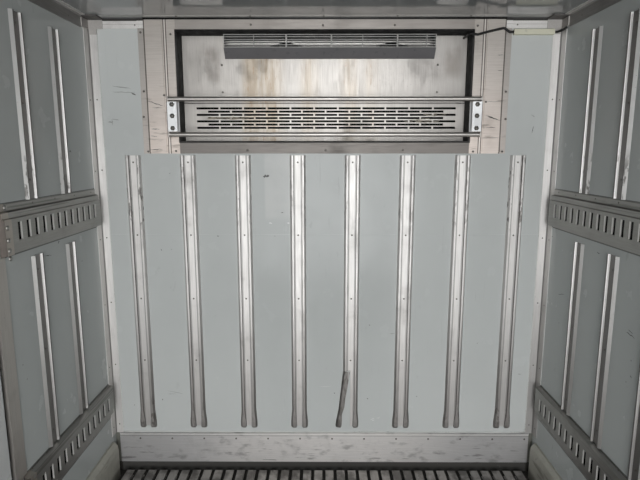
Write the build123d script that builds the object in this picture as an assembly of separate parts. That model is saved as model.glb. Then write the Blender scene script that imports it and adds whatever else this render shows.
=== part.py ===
"""Insulated load body of a refrigerated truck, before it is bolted on a chassis.

Millimetres. +Y points to the cab, +X to the right of someone looking forward, +Z up. The origin is under
the middle of the body, where its long sills stand. The rear doors are folded back along the side walls
and the side door is shut.
"""

import os

from build123d import *

# Load space, between the inner skins and from the top of the floor rails
INNER_WIDTH = 1990
INNER_HEIGHT = 2043
INNER_LENGTH = 4400

# Thickness of the insulated panels
SIDE_WALL = 75
FRONT_WALL = 100
ROOF = 80
FLOOR = 90
DOOR = 80

# Underframe and floor
SILL_HEIGHT = 120
MEMBER_HEIGHT = 75
RAIL_HEIGHT = 30
RAIL_PITCH = 52.4
RAIL_COUNT = 36

# Rear frame and the two rear doors
FRAME_DEPTH = 120
POST_LIP = 35
HEADER_LIP = 55
REBATE = 36
REBATE_WIDTH = 40
SILL_REBATE = 30
SHUT_GAP = 6
SEAL_WIDTH = 15
SEAL_GAP = 5
PIN_OUT = 22
PIN_BACK = 40
BARREL_R = 13
PIN_R = 6

# Side doorway in the left wall, measured back from the front wall
DOORWAY_FRONT = 780
DOORWAY_WIDTH = 750
DOORWAY_HEIGHT = 1850

# Ribs on the walls
FRONT_RIB_XS = [-836, -596, -356, -116, 124, 364, 604, 844]
SIDE_RIB_PITCH = 240
SIDE_RIB_FIRST = 300
SIDE_RIB_COUNT = 17

# Lashing rails
LASHING_HEIGHT = 164
LASHING_FEET = (271, 1169)
SLOT_PITCH = 50
SLOT = (22, 58)
FIRST_SLOT = 58
END_PLATE = 36
RAIL_CLEAR = 38

# Refrigerating unit, in front of the front wall's inner face
FACE_BACK = 80
TUB_BACK = 300
UNIT_FRAME = 30
HOUSING_DEPTH = 360
GRILLE_PROUD = 10
FAN_XS = (-170, 302)
FAN_HEIGHT = 1847
FAN_R = 118
CONDENSER_FAN_XS = (-275, 275)
CONDENSER_FAN_R = 170

# Places worked out from the sizes above
HALF = INNER_WIDTH / 2
SIDE = HALF + SIDE_WALL
PANEL_BOTTOM = SILL_HEIGHT + MEMBER_HEIGHT
FLOOR_TOP = PANEL_BOTTOM + FLOOR + RAIL_HEIGHT
CEILING = FLOOR_TOP + INNER_HEIGHT
ROOF_TOP = CEILING + ROOF
FRONT_REACH = FRONT_WALL + UNIT_FRAME + HOUSING_DEPTH + GRILLE_PROUD
REAR_REACH = INNER_LENGTH + DOOR + PIN_BACK + BARREL_R
FRONT = (REAR_REACH - FRONT_REACH) / 2
FRONT_SKIN = FRONT + FRONT_WALL
REAR_SKIN = FRONT - INNER_LENGTH - DOOR
WALL_END = REAR_SKIN + FRAME_DEPTH
PIN_X = SIDE + 5 + PIN_OUT
PIN_Y = REAR_SKIN - PIN_BACK
SIDE_PIN_X = -SIDE - 32
SIDE_PIN_Y = FRONT - DOORWAY_FRONT + 50
OPEN_X = HALF - POST_LIP
OPEN_Z = (FLOOR_TOP, CEILING - HEADER_LIP)
REBATE_X = OPEN_X + REBATE_WIDTH
REBATE_Z = (OPEN_Z[0] - SILL_REBATE, OPEN_Z[1] + SILL_REBATE)
JAMB = 35
RECESS_X = 630
RECESS_Z = (FLOOR_TOP + 1530, FLOOR_TOP + 1998)


def up(height):
    """A height over the floor rails, as a place along Z."""
    return FLOOR_TOP + height


def back(distance):
    """A distance back from the front wall's inner face, as a place along Y."""
    return FRONT - distance


def block(x, y, z):
    """A box between two places along each axis."""
    size = [abs(high - low) for low, high in (x, y, z)]
    centre = [(low + high) / 2 for low, high in (x, y, z)]
    return Pos(*centre) * Box(*size)


def outline(points):
    return make_face(Polyline(*points, close=True))


def along_x(points, start, end):
    """An outline of (y, z) points drawn out along X."""
    return extrude(Plane.YZ.offset(start) * outline(points), end - start, dir=(1, 0, 0))


def along_y(points, start, end):
    """An outline of (x, z) points drawn out along Y."""
    return extrude(Plane.XZ.offset(-start) * outline(points), end - start, dir=(0, 1, 0))


def along_z(points, start, end):
    """An outline of (x, y) points drawn out along Z."""
    return extrude(Plane.XY.offset(start) * outline(points), end - start, dir=(0, 0, 1))


def bar(start, end, radius):
    """A round bar between two points."""
    start, end = Vector(*start), Vector(*end)
    plane = Plane(start, z_dir=end - start)
    return extrude(plane * Circle(radius), (end - start).length)


def both_sides(shapes):
    """The shapes and their mirror images across the middle of the body."""
    return [*shapes, *(mirror(shape, about=Plane.YZ) for shape in shapes)]


def turned(shape, x, y, angle):
    """The shape turned about an upright axis."""
    return Pos(x, y, 0) * Rot(0, 0, angle) * Pos(-x, -y, 0) * shape


def save(name, shapes):
    """Writes one node, whose pieces are solids that don't touch."""
    solids = [solid for shape in shapes for solid in shape.solids()]
    export_step(Compound(children=solids), f"parts/{name}.step")


# Insulated panels


def doorway_block(x, margin, bottom):
    """The side doorway widened by a margin, between two places along X."""
    y = (back(DOORWAY_FRONT - margin), back(DOORWAY_FRONT + DOORWAY_WIDTH + margin))
    return block(x, y, (up(bottom), up(DOORWAY_HEIGHT + margin)))


def make_panels():
    length = (WALL_END, FRONT)
    save("floor_panel", [block((-HALF, HALF), length, (PANEL_BOTTOM, PANEL_BOTTOM + FLOOR))])
    side = block((HALF, SIDE), length, (PANEL_BOTTOM, CEILING))
    save("right_wall", [side])
    left = mirror(side, about=Plane.YZ) - doorway_block((-SIDE - 1, -HALF + 1), JAMB, -JAMB)
    save("left_wall", [left])
    front = block((-SIDE, SIDE), (FRONT, FRONT_SKIN), (PANEL_BOTTOM, CEILING))
    front -= block((-RECESS_X, RECESS_X), (FRONT - 1, FRONT_SKIN + 1), RECESS_Z)
    front -= block((-HALF, HALF), (FRONT - 1, FRONT + 1.5), (up(1124), up(1126)))
    save("front_wall", [front])
    save("roof_panel", [block((-SIDE, SIDE), (WALL_END, FRONT_SKIN), (CEILING, ROOF_TOP))])


def make_floor_rails():
    """Slotted floor: bars with a wide top on a web and a foot, which leave drain slots between them."""
    foot, web, top, thick = 12, 3, 18.5, 3
    half = [(foot, 0), (foot, thick), (web, 6), (web, 24), (top, 27), (top, RAIL_HEIGHT)]
    section = half + [(-x, z) for x, z in reversed(half)]
    rails = []
    for index in range(RAIL_COUNT):
        x = (index - (RAIL_COUNT - 1) / 2) * RAIL_PITCH
        points = [(x + u, FLOOR_TOP - RAIL_HEIGHT + w) for u, w in section]
        rails.append(along_y(points, WALL_END, back(45)))
    save("floor_rails", rails)


# Rear frame, edge rails and underframe


def make_rear_frame():
    """Stainless frame with a step all round that the doors shut into."""
    depth = (REAR_SKIN, WALL_END)
    frame = block((-SIDE - 5, SIDE + 5), depth, (SILL_HEIGHT, ROOF_TOP + 5))
    frame = fillet(frame.edges().filter_by(Axis.Y).group_by(Axis.Z)[-1], 22)
    frame -= block((-OPEN_X, OPEN_X), (REAR_SKIN - 1, WALL_END + 1), OPEN_Z)
    frame -= block((-REBATE_X, REBATE_X), (REAR_SKIN - 1, REAR_SKIN + REBATE), REBATE_Z)
    frame -= block((-HALF + 60, HALF - 60), (REAR_SKIN + 30, WALL_END + 1), (SILL_HEIGHT - 1, PANEL_BOTTOM))
    save("rear_frame", [frame])


def angle_section(leg, thick, chamfer):
    """An outside corner angle round (0, 0), with its legs towards -x and -z and a chamfered corner."""
    return [
        (-leg, 0),
        (-leg, thick),
        (thick - chamfer, thick),
        (thick, thick - chamfer),
        (thick, -leg),
        (0, -leg),
        (0, 0),
    ]


def make_edge_rails():
    """Aluminium angles over the outer edges: along the roof, up the front corners, round the foot."""
    leg, thick = 60, 4
    section = angle_section(leg, thick, 3)
    roof_side = along_y([(SIDE + u, ROOF_TOP + w) for u, w in section], WALL_END, FRONT_SKIN)
    post = along_z([(SIDE + u, FRONT_SKIN + w) for u, w in section], PANEL_BOTTOM, ROOF_TOP - leg)
    foot = block((SIDE, SIDE + thick), (WALL_END, FRONT_SKIN - leg), (PANEL_BOTTOM, PANEL_BOTTOM + 70))
    roof_front = along_x(
        [(FRONT_SKIN + u, ROOF_TOP + w) for u, w in section], -SIDE + leg, SIDE - leg
    )
    save("edge_rails", [*both_sides([roof_side, post, foot]), roof_front])


def channel(width, height, thick):
    """A channel open to +u, from (0, 0) up."""
    return [
        (0, 0),
        (width, 0),
        (width, thick),
        (thick, thick),
        (thick, height - thick),
        (width, height - thick),
        (width, height),
        (0, height),
    ]


SILL_X = 400
MEMBER_YS = [back(90 + index * 410) for index in range(11)]


def make_underframe():
    section = channel(60, SILL_HEIGHT, 6)
    sill = along_y([(SILL_X - u, w) for u, w in section], WALL_END + 40, FRONT)
    save("long_sills", both_sides([sill]))
    members = []
    for y in MEMBER_YS:
        points = [(y + u, SILL_HEIGHT + w) for u, w in channel(45, MEMBER_HEIGHT, 5)]
        members.append(along_x(points, -HALF, HALF))
    save("cross_members", members)


BRACKET_YS = [back(distance) for distance in (500, 2140, 3780)]
BRACKET_SPACING = (100, 60)
BRACKET_HOLE_R = 9


def make_mounting_brackets():
    """Plates on the outer side of each sill, with four bolt holes for the chassis brackets."""
    brackets = []
    for y in BRACKET_YS:
        plate = block((SILL_X, SILL_X + 10), (y - 80, y + 80), (8, 112))
        for dy in (-BRACKET_SPACING[0] / 2, BRACKET_SPACING[0] / 2):
            for dz in (-BRACKET_SPACING[1] / 2, BRACKET_SPACING[1] / 2):
                hole = bar((SILL_X - 7, y + dy, 60 + dz), (SILL_X + 12, y + dy, 60 + dz), BRACKET_HOLE_R)
                plate -= hole
        brackets.append(plate)
    save("mounting_brackets", both_sides(brackets))


def side_places(margin):
    """The side doorway's ends along Y, widened by a margin."""
    return back(DOORWAY_FRONT + DOORWAY_WIDTH + margin), back(DOORWAY_FRONT - margin)


def make_marker_lamps():
    lamps = []
    for distance in (600, 2140, 3680):
        y = back(distance)
        lamp = block((SIDE + 4, SIDE + 20), (y - 50, y + 50), (PANEL_BOTTOM + 15, PANEL_BOTTOM + 52))
        lamps.append(chamfer(lamp.edges().filter_by(Axis.X), 8))
    rear = block((860, 960), (REAR_SKIN - 16, REAR_SKIN), (ROOF_TOP - 45, ROOF_TOP - 8))
    lamps.append(chamfer(rear.edges().filter_by(Axis.Y), 8))
    save("marker_lamps", both_sides(lamps))


def make_rain_gutter():
    """Gutter that keeps the roof's water off the side door."""
    points = [(0, 0), (18, 0), (18, 16), (16, 16), (16, 2), (2, 2), (2, 30), (0, 30)]
    low = up(DOORWAY_HEIGHT + 46)
    gutter = along_y([(-SIDE - u, low + w) for u, w in points], *side_places(60))
    save("rain_gutter", [gutter])


# Trims inside the load space


def make_trims():
    thick = 3
    corner = [(HALF - 37, FRONT), (HALF - 37, FRONT - thick), (HALF - 8, FRONT - thick)]
    corner += [(HALF - thick, FRONT - 8), (HALF - thick, FRONT - 47), (HALF, FRONT - 47), (HALF, FRONT)]
    save("corner_trims", both_sides([along_z(corner, up(169), up(1998))]))
    side = [(HALF, up(1992)), (HALF - thick, up(1992)), (HALF - thick, up(2035)), (HALF - 8, up(2040))]
    side += [(HALF - 22, up(2040)), (HALF - 22, up(2043)), (HALF, up(2043))]
    front = block((785, HALF - 65), (FRONT - thick, FRONT), (up(2001), up(2039)))
    save("ceiling_trims", both_sides([along_y(side, WALL_END, back(65)), front]))
    cap = block((HALF - 65, HALF), (back(65), FRONT), (up(1999), up(2043)))
    cap -= block((HALF - 66, HALF - 6), (back(66), back(6)), (up(1998), up(2037)))
    save("corner_caps", both_sides([cap]))


# Half of the rib's section: (distance from its middle, how far it stands off), then the hollow under it
RIB_HALF = [(35, 0), (26.5, 10), (19.5, 10), (18, 1.5)]
RIB_UNDER = [(19.3, 0), (20.8, 8.5), (25.8, 8.5), (33, 0)]
TORN_RIB = 4
TORN_TOP = 480
TORN_LEAN = 6


def rib_section():
    """Rub rail rolled from sheet: two hollow ridges beside a flat middle that lies on the wall."""
    right = RIB_HALF[::-1] + RIB_UNDER[::-1]
    return right + [(-u, w) for u, w in reversed(right)]


# Crushed foot of a ridge: (height over the rails, outer edge, inner edge, how far it stands off)
FOOT = [(285, 35, 18, 10), (228, 40, 12, 11), (203, 40, 11, 9), (195, 36, 15, 4)]


def crushed_foot(x, side):
    """The splayed end of one ridge, where pallets and carts have flattened it."""
    faces = []
    for height, outer, inner, proud in FOOT:
        ridge = [(outer, 0), (outer - 8.5, proud), (inner + 1.5, proud), (inner, 0)]
        points = [(x + side * u, FRONT - w) for u, w in ridge]
        faces.append(Plane.XY.offset(up(height)) * outline(points))
    return loft(faces, ruled=True)


def torn_ridge(x):
    """The left ridge of a rib, torn from the flat middle and leaning away from it at the foot."""
    points = [(x - u, FRONT - w) for u, w in RIB_HALF]
    ridge = along_z(points, up(205), up(TORN_TOP - 3)) + crushed_foot(x, -1)
    flap = [(x - 18.5, up(250)), (x - 18.5, up(TORN_TOP - 3)), (x - 2, up(TORN_TOP - 3)), (x - 5, up(400))]
    flap += [(x - 9, up(340)), (x - 8, up(300))]
    ridge += extrude(Plane.XZ.offset(-FRONT) * outline(flap), 2)
    return Pos(x - 24, 0, up(TORN_TOP)) * Rot(0, TORN_LEAN, 0) * Pos(24 - x, 0, -up(TORN_TOP)) * ridge


def make_ribs():
    section = rib_section()
    front = []
    for index, x in enumerate(FRONT_RIB_XS):
        rib = along_z([(x + u, FRONT - w) for u, w in section], up(205), up(1476))
        if index == TORN_RIB:
            rib -= block((x - 36, x - 1), (FRONT - 20, FRONT + 1), (up(190), up(TORN_TOP)))
            front.append(torn_ridge(x))
        else:
            rib += crushed_foot(x, -1)
        front.append(rib + crushed_foot(x, 1))
    save("front_wall_ribs", front)
    ribs = []
    for side in (-1, 1):
        for index in range(SIDE_RIB_COUNT):
            distance = SIDE_RIB_FIRST + index * SIDE_RIB_PITCH
            in_doorway = DOORWAY_FRONT - 60 < distance < DOORWAY_FRONT + DOORWAY_WIDTH + 60
            if side < 0 and in_doorway:
                continue
            points = [(side * (HALF - w), back(distance) + u) for u, w in section]
            ribs.append(along_z(points, up(1335), up(1936)))
            ribs.append(along_z(points, up(437), up(1142)))
    save("side_wall_ribs", ribs)


# Lashing rail section, face then underside: (distance from the flange's edge, distance off the wall)
LASHING_FACE = [(0, 3), (22, 3), (26, 16), (44, 16), (48, 22), (156, 22), (160, 3), (164, 3)]
LASHING_UNDER = [(157, 0), (153.4, 19), (124, 19), (124, 16), (54, 16), (54, 19), (49.2, 19), (45.2, 13)]
LASHING_UNDER += [(28, 13), (24, 0)]


def lashing_rail(side, top, flipped, start, end, caps):
    """One run of lashing rail: slots cut through the standing face, ends by a doorway capped."""
    section = [(0, 0), *LASHING_FACE, (LASHING_HEIGHT, 0), *LASHING_UNDER]
    sign = 1 if flipped else -1
    base = top - LASHING_HEIGHT if flipped else top
    points = [(side * (HALF - w), up(base + sign * h)) for h, w in section]
    rail = along_y(points, back(end), back(start))
    middle = up(base + sign * 89)
    x = (side * (HALF - 24), side * (HALF - 10))
    slots = []
    distance = start + FIRST_SLOT
    while distance < end - END_PLATE:
        y = (back(distance + SLOT[0] / 2), back(distance - SLOT[0] / 2))
        slots.append(block(x, y, (middle - SLOT[1] / 2, middle + SLOT[1] / 2)))
        distance += SLOT_PITCH
    rail -= slots
    outline = [(0, 0), *LASHING_FACE, (LASHING_HEIGHT, 0)]
    closed = [(side * (HALF - w), up(base + sign * h)) for h, w in outline]
    face = (up(base + sign * 46), up(base + sign * 158))
    for cap in caps:
        inward = 1 if cap == end else -1
        rail += along_y(closed, *sorted((back(cap), back(cap - 3 * inward))))
        plate = (back(cap), back(cap - END_PLATE * inward))
        rail += block((side * (HALF - 20), side * (HALF - 25)), plate, face)
    return rail


def make_lashing_rails():
    doorway_start, doorway_end = DOORWAY_FRONT - RAIL_CLEAR, DOORWAY_FRONT + DOORWAY_WIDTH + RAIL_CLEAR
    # Each run: (side of the body, start, end, capped ends), measured back from the front wall
    runs = [
        (-1, 50, doorway_start, [doorway_start]),
        (-1, doorway_end, INNER_LENGTH - 45, [doorway_end]),
        (1, 50, INNER_LENGTH - 45, []),
    ]
    low, high = (foot + LASHING_HEIGHT for foot in LASHING_FEET)
    upper = [lashing_rail(side, high, False, *run) for side, *run in runs]
    lower = [lashing_rail(side, low, True, *run) for side, *run in runs]
    save("upper_lashing_rails", upper)
    save("lower_lashing_rails", lower)


def make_floor_trims():
    kick = [(0, 17), (3, 17), (3, 162), (7, 166), (7, 169), (0, 169)]
    kick = along_x([(back(w), up(h)) for w, h in kick], -HALF + 19, HALF - 19)
    save("kick_plate", [kick])
    section = [(0, -RAIL_HEIGHT), (28, -RAIL_HEIGHT), (28, 100), (24, 128), (10, 145), (0, 145)]
    points = [(HALF - w, up(h)) for w, h in section]
    right = along_y(points, WALL_END, back(50))
    left_front = along_y([(-x, z) for x, z in points], back(DOORWAY_FRONT - 60), back(50))
    left_rear = along_y([(-x, z) for x, z in points], WALL_END, back(DOORWAY_FRONT + DOORWAY_WIDTH + 60))
    save("floor_coves", [right, left_front, left_rear])


# Refrigerating unit, inside


def make_recess():
    """Stainless surround on the wall and the black sleeve that seals the unit in the wall."""
    outer_x, outer_z = (-785, 785), (up(1484), up(2039))
    plate = block(outer_x, (FRONT - 2, FRONT), outer_z)
    for side in (-1, 1):
        plate += block((side * 684, side * 761), (FRONT - 6, FRONT - 2), (up(1490), up(2036)))
        plate += block((side * RECESS_X, side * 671), (FRONT - 5, FRONT - 2), (up(1484), up(2036)))
    plate += block((-671, 671), (FRONT - 4, FRONT - 2), (up(1486), up(1530)))
    plate += block((-671, 671), (FRONT - 4, FRONT - 2), (up(1998), up(2036)))
    plate -= block((-RECESS_X, RECESS_X), (FRONT - 9, FRONT + 1), RECESS_Z)
    save("recess_frame", [plate])
    low, high = RECESS_Z
    sleeve = block((-RECESS_X, RECESS_X), (FRONT, FRONT_SKIN), RECESS_Z)
    sleeve -= block((-FACE_X, FACE_X), (FRONT - 1, FRONT_SKIN + 1), (low + 7, high - 7))
    save("recess_sleeve", [sleeve])


FACE_X = 623
FACE_Z = (up(1538), up(1990))
FACE_SEAMS = (-450, 497)
INTAKE_TOP = 1704
SLOT_ROWS = 7
ROW_PITCH = 14.1
ROW_FIRST = 1682
OUTLET_X = (-434, 480)
OUTLET_Z = (1934, 1989)
DEFLECTOR_FOOT = 1892
RING_Y = 150


def make_evaporator():
    face_y = (FRONT + FACE_BACK, FRONT + FACE_BACK + 3)
    tub = block((-FACE_X, FACE_X), (face_y[1], FRONT + TUB_BACK), FACE_Z)
    tub -= block((-FACE_X + 15, FACE_X - 15), (FRONT, FRONT + TUB_BACK - 15), (FACE_Z[0] + 15, FACE_Z[1] - 8))
    save("evaporator_tub", [tub])

    gap = 1.5
    seams = (-FACE_X, *FACE_SEAMS, FACE_X)
    panels = []
    for left, right in zip(seams, seams[1:]):
        panels.append(block((left + gap, right - gap), face_y, (up(INTAKE_TOP) + gap, FACE_Z[1] - gap)))
    outlet = block(OUTLET_X, (FRONT, FRONT + 200), (up(OUTLET_Z[0]), up(OUTLET_Z[1])))
    panels = [panel - outlet for panel in panels]
    intake = block((-FACE_X + gap, FACE_X - gap), face_y, (FACE_Z[0] + gap, up(INTAKE_TOP) - gap))
    slots = []
    for row in range(SLOT_ROWS):
        count, first, pitch = (11, -569, 105.5) if row % 2 == 0 else (10, -518, 105.5)
        z = up(ROW_FIRST - row * ROW_PITCH)
        for index in range(count):
            x = first + index * pitch
            slots.append(block((x, x + pitch - 7), (FRONT, FRONT + 100), (z - 4.7, z + 4.7)))
    panels.append(intake - slots)
    save("evaporator_face", panels)

    coil = block((-560, 560), (FRONT + 190, FRONT + 260), (FACE_Z[0] + 20, up(1800)))
    save("evaporator_coil", [coil])


def make_outlet():
    """Outlet grille: a frame with level bars and dividers, over a deflector that slopes back to the face."""
    front, rear = FRONT + 45, FRONT + FACE_BACK
    low, high = (up(height) for height in OUTLET_Z)
    left, right = OUTLET_X
    frame = block((left, right), (front, rear), (low, high))
    frame -= block((left + 3, right - 3), (front - 1, rear + 1), (low + 3, high - 3))
    for index in range(1, 5):
        z = low + index * (high - low) / 5
        frame += block((left, right), (front, front + 12), (z - 1.4, z + 1.4))
    for x, width in ((-304, 3), (-164, 7), (30, 7), (165, 3), (314, 7), (440, 3)):
        frame += block((x - width / 2, x + width / 2), (front + 3, front + 15), (low, high))
    save("outlet_grille", [frame])
    slope = [(front, low - 0.5), (front + 3, low - 0.5), (rear, up(DEFLECTOR_FOOT) + 4)]
    slope += [(rear, up(DEFLECTOR_FOOT)), (rear - 4, up(DEFLECTOR_FOOT))]
    save("outlet_deflector", [along_x(slope, left, right)])


def make_guard():
    """Two tubes across the unit on an end plate each side."""
    y = FRONT - 40
    tubes = [bar((-662, y, up(height)), (662, y, up(height)), 9.5) for height in (1711, 1564)]
    plates = []
    for side in (-1, 1):
        foot = block((side * 622, side * 662), (FRONT - 9, FRONT - 6), (up(1560), up(1716)))
        web = block((side * 659, side * 662), (FRONT - 50, FRONT - 6), (up(1553), up(1722)))
        face = block((side * 622, side * 662), (FRONT - 50, FRONT - 47), (up(1576), up(1700)))
        plates.append(foot + web + face)
    guard = plates[0] + tubes[0] + tubes[1] + plates[1]
    save("evaporator_guard", [guard])


def fan(radius, hub_radius, depth, blades, chord, pitch):
    """Axial fan about Y at the origin: pitched blades on a hub, cut to the ring's circle."""
    hub = Rot(90, 0, 0) * Cylinder(hub_radius, depth)
    rotor = hub
    for index in range(blades):
        blade = Pos(0, 0, (radius + hub_radius) / 2) * Rot(0, 0, pitch) * Box(
            chord, 3, radius - hub_radius + 20
        )
        rotor += Rot(0, index * 360 / blades, 0) * blade
    return rotor & (Rot(90, 0, 0) * Cylinder(radius, depth + 60))


def make_evaporator_fans():
    y = FRONT + RING_Y
    plate = block((-600, 600), (y, y + 3), (FACE_Z[0] + 30, FACE_Z[1] - 8))
    for x in FAN_XS:
        plate += Pos(x, y - 5, up(FAN_HEIGHT)) * Rot(90, 0, 0) * Cylinder(131, 16)
    for x in FAN_XS:
        plate -= Pos(x, y, up(FAN_HEIGHT)) * Rot(90, 0, 0) * Cylinder(125, 60)
    rotor = fan(FAN_R, 34, 24, 5, 70, 35)
    for name, x in zip(("left", "right"), FAN_XS):
        save(f"evaporator_fan_{name}", [Pos(x, y, up(FAN_HEIGHT)) * rotor])
    arm_z = (up(FAN_HEIGHT) - 10, up(FAN_HEIGHT) + 10)
    for x in FAN_XS:
        plate += bar((x, y + 18, up(FAN_HEIGHT)), (x, y + 36, up(FAN_HEIGHT)), 30)
        plate += block((x - 140, x + 140), (y + 30, y + 36), arm_z)
        for side in (-1, 1):
            plate += block((x + side * 134, x + side * 140), (y + 3, y + 36), arm_z)
    save("evaporator_fan_plate", [plate])


SENSOR_DUCT = (789, 957)
SENSOR_Z = 1984


def make_sensor():
    """Temperature sensor in a flat plastic duct, with its cable from the unit and on round the corner."""
    y, z = FRONT - 12, up(SENSOR_Z)
    left, right = SENSOR_DUCT
    section = [(0, -10.5), (-17, -10.5), (-17, -11.5), (-19, -11), (-20, -9.5)]
    section += [(-20, 9.5), (-19, 11), (-17, 11.5), (-17, 10.5), (0, 10.5)]
    save("sensor_tube", [along_x([(FRONT + u, z + w) for u, w in section], left, right)])
    route = [
        (606, FRONT + FACE_BACK, up(1978)),
        (606, y, up(1978)),
        (640, y, up(1974)),
        (690, y, up(1987)),
        (748, y, up(2000)),
        (772, y, z),
        (left, y, z),
    ]
    tail = [(right, y, z), (right + 13, y, z), (HALF - 10, y - 16, z + 4), (HALF - 10, back(62), z + 6)]
    save("sensor_cable", [cable(route, 5, 9), cable(tail, 5, 6)])


def cable(points, radius, bend):
    path = FilletPolyline(*points, radius=bend)
    return sweep(Plane(path @ 0, z_dir=path % 0) * RegularPolygon(radius, 12), path=path)


# Refrigerating unit, outside

HOUSING_X = 720
HOUSING_Z = (up(1330), up(2060))
WINDOW_X = 560
WINDOW_Z = (up(1430), up(1850))


def housing_form(inset):
    """The nose of the unit: a raked box with chamfered foot, its upright edges rounded."""
    rear, front = FRONT_SKIN + UNIT_FRAME, FRONT_SKIN + UNIT_FRAME + HOUSING_DEPTH - inset
    low, high = HOUSING_Z[0] + inset, HOUSING_Z[1] - inset
    side = [(rear, low), (front - 60, low), (front, low + 70)]
    side += [(front, high - 190), (front - 110, high), (rear, high)]
    form = along_x(side, -HOUSING_X + inset, HOUSING_X - inset)
    corners = form.edges().filter_by(Axis.Z).group_by(Axis.Y)[-1]
    return fillet(corners, 70 - inset)


def make_condenser():
    frame = block((-HOUSING_X, HOUSING_X), (FRONT_SKIN, FRONT_SKIN + UNIT_FRAME), HOUSING_Z)
    hole = (FACE_Z[0] - 12, FACE_Z[1] + 12)
    frame -= block((-FACE_X - 12, FACE_X + 12), (FRONT_SKIN - 1, FRONT_SKIN + UNIT_FRAME + 1), hole)
    save("unit_frame", [frame])

    front = FRONT_SKIN + UNIT_FRAME + HOUSING_DEPTH
    housing = housing_form(0) - housing_form(5)
    housing -= block((-WINDOW_X, WINDOW_X), (front - 20, front + 1), WINDOW_Z)
    foot = (FRONT_SKIN + UNIT_FRAME + 60, front - 90)
    housing -= block((-480, 480), foot, (HOUSING_Z[0] - 1, HOUSING_Z[0] + 20))
    save("condenser_housing", [housing])

    grille = block((-WINDOW_X - 12, WINDOW_X + 12), (front, front + 4), (WINDOW_Z[0] - 12, WINDOW_Z[1] + 12))
    grille -= block((-WINDOW_X + 6, WINDOW_X - 6), (front - 1, front + 5), (WINDOW_Z[0] + 6, WINDOW_Z[1] - 6))
    bars = 13
    step = (WINDOW_Z[1] - WINDOW_Z[0]) / (bars + 1)
    for index in range(1, bars + 1):
        z = WINDOW_Z[0] + index * step
        grille += block((-WINDOW_X, WINDOW_X), (front - 6, front + GRILLE_PROUD), (z - 2.5, z + 2.5))
    for x in (-190, 190):
        grille += block((x - 4, x + 4), (front - 10, front), (WINDOW_Z[0] + 1, WINDOW_Z[1] - 1))
    save("condenser_grille", [grille])

    middle = (WINDOW_Z[0] + WINDOW_Z[1]) / 2
    y = front - 75
    shroud = block((-WINDOW_X - 60, WINDOW_X + 60), (y, y + 4), (HOUSING_Z[0] + 75, WINDOW_Z[1] + 10))
    for x in CONDENSER_FAN_XS:
        shroud += Pos(x, y + 9.5, middle) * Rot(90, 0, 0) * Cylinder(182, 19)
    for x in CONDENSER_FAN_XS:
        shroud -= Pos(x, y, middle) * Rot(90, 0, 0) * Cylinder(177, 80)
    save("condenser_shroud", [shroud])
    rotor = fan(CONDENSER_FAN_R, 45, 28, 6, 90, 35)
    for name, x in zip(("left", "right"), CONDENSER_FAN_XS):
        save(f"condenser_fan_{name}", [Pos(x, y + 10, middle) * rotor])
    coil = block((-WINDOW_X, WINDOW_X), (y - 95, y - 50), (HOUSING_Z[0] + 80, WINDOW_Z[1]))
    motors = [bar((x, y - 50, middle), (x, y - 12, middle), 42) for x in CONDENSER_FAN_XS]
    save("condenser_coil", [coil + motors[0] + motors[1]])


# Doors, drawn shut


def leaf_blocks(x, z, seal_x, plug_x, plug_z):
    """Outer flange, inner plug and the seal round the plug of a rear door."""
    skin, step, inner = REAR_SKIN, REAR_SKIN + 30, REAR_SKIN + DOOR
    leaf = block(x, (skin, step), z) + block(plug_x, (step, inner), plug_z)
    seal = block(seal_x, (step, step + 40), (plug_z[0] - SEAL_WIDTH, plug_z[1] + SEAL_WIDTH))
    seal -= block(plug_x, (step - 1, step + 41), plug_z)
    return leaf, seal


HINGE_HEIGHTS = (90, 1000, 1900)
ROD_X = 120
ROD_Z = (REBATE_Z[0] - 25, REBATE_Z[1] + 25)
ROD_R = 11
ROD_BACK = 24


def hinge_strap(height):
    """Strap cranked from the door's skin out to the barrel on the hinge pin."""
    z = up(height)
    strap = [(744, 0), (968, 0), (PIN_X - 2, -36), (PIN_X - 6, -46), (964, -8), (744, -8)]
    piece = along_z([(x, REAR_SKIN + y) for x, y in strap], z - 28, z + 28)
    piece = fillet(piece.edges().filter_by(Axis.Y).group_by(Axis.X)[0], 18)
    piece += bar((PIN_X, PIN_Y, z - 30), (PIN_X, PIN_Y, z + 30), BARREL_R)
    return piece - bar((PIN_X, PIN_Y, z - 31), (PIN_X, PIN_Y, z + 31), PIN_R + 0.05)


def hinge_bracket(height):
    """Plate on the post with two lugs that hold the pin."""
    z = up(height)
    piece = block((PIN_X - 62, PIN_X - 22), (REAR_SKIN - 8, REAR_SKIN), (z - 60, z + 60))
    lug = [(-62, 32), (-22, 32), (12, 5), (12, -5), (5, -12), (-5, -12), (-9, -9)]
    for low in (-43, 31):
        piece += along_z([(PIN_X + x, PIN_Y + y) for x, y in lug], z + low, z + low + 12)
    return piece + bar((PIN_X, PIN_Y, z - 43), (PIN_X, PIN_Y, z + 43), PIN_R)


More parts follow.
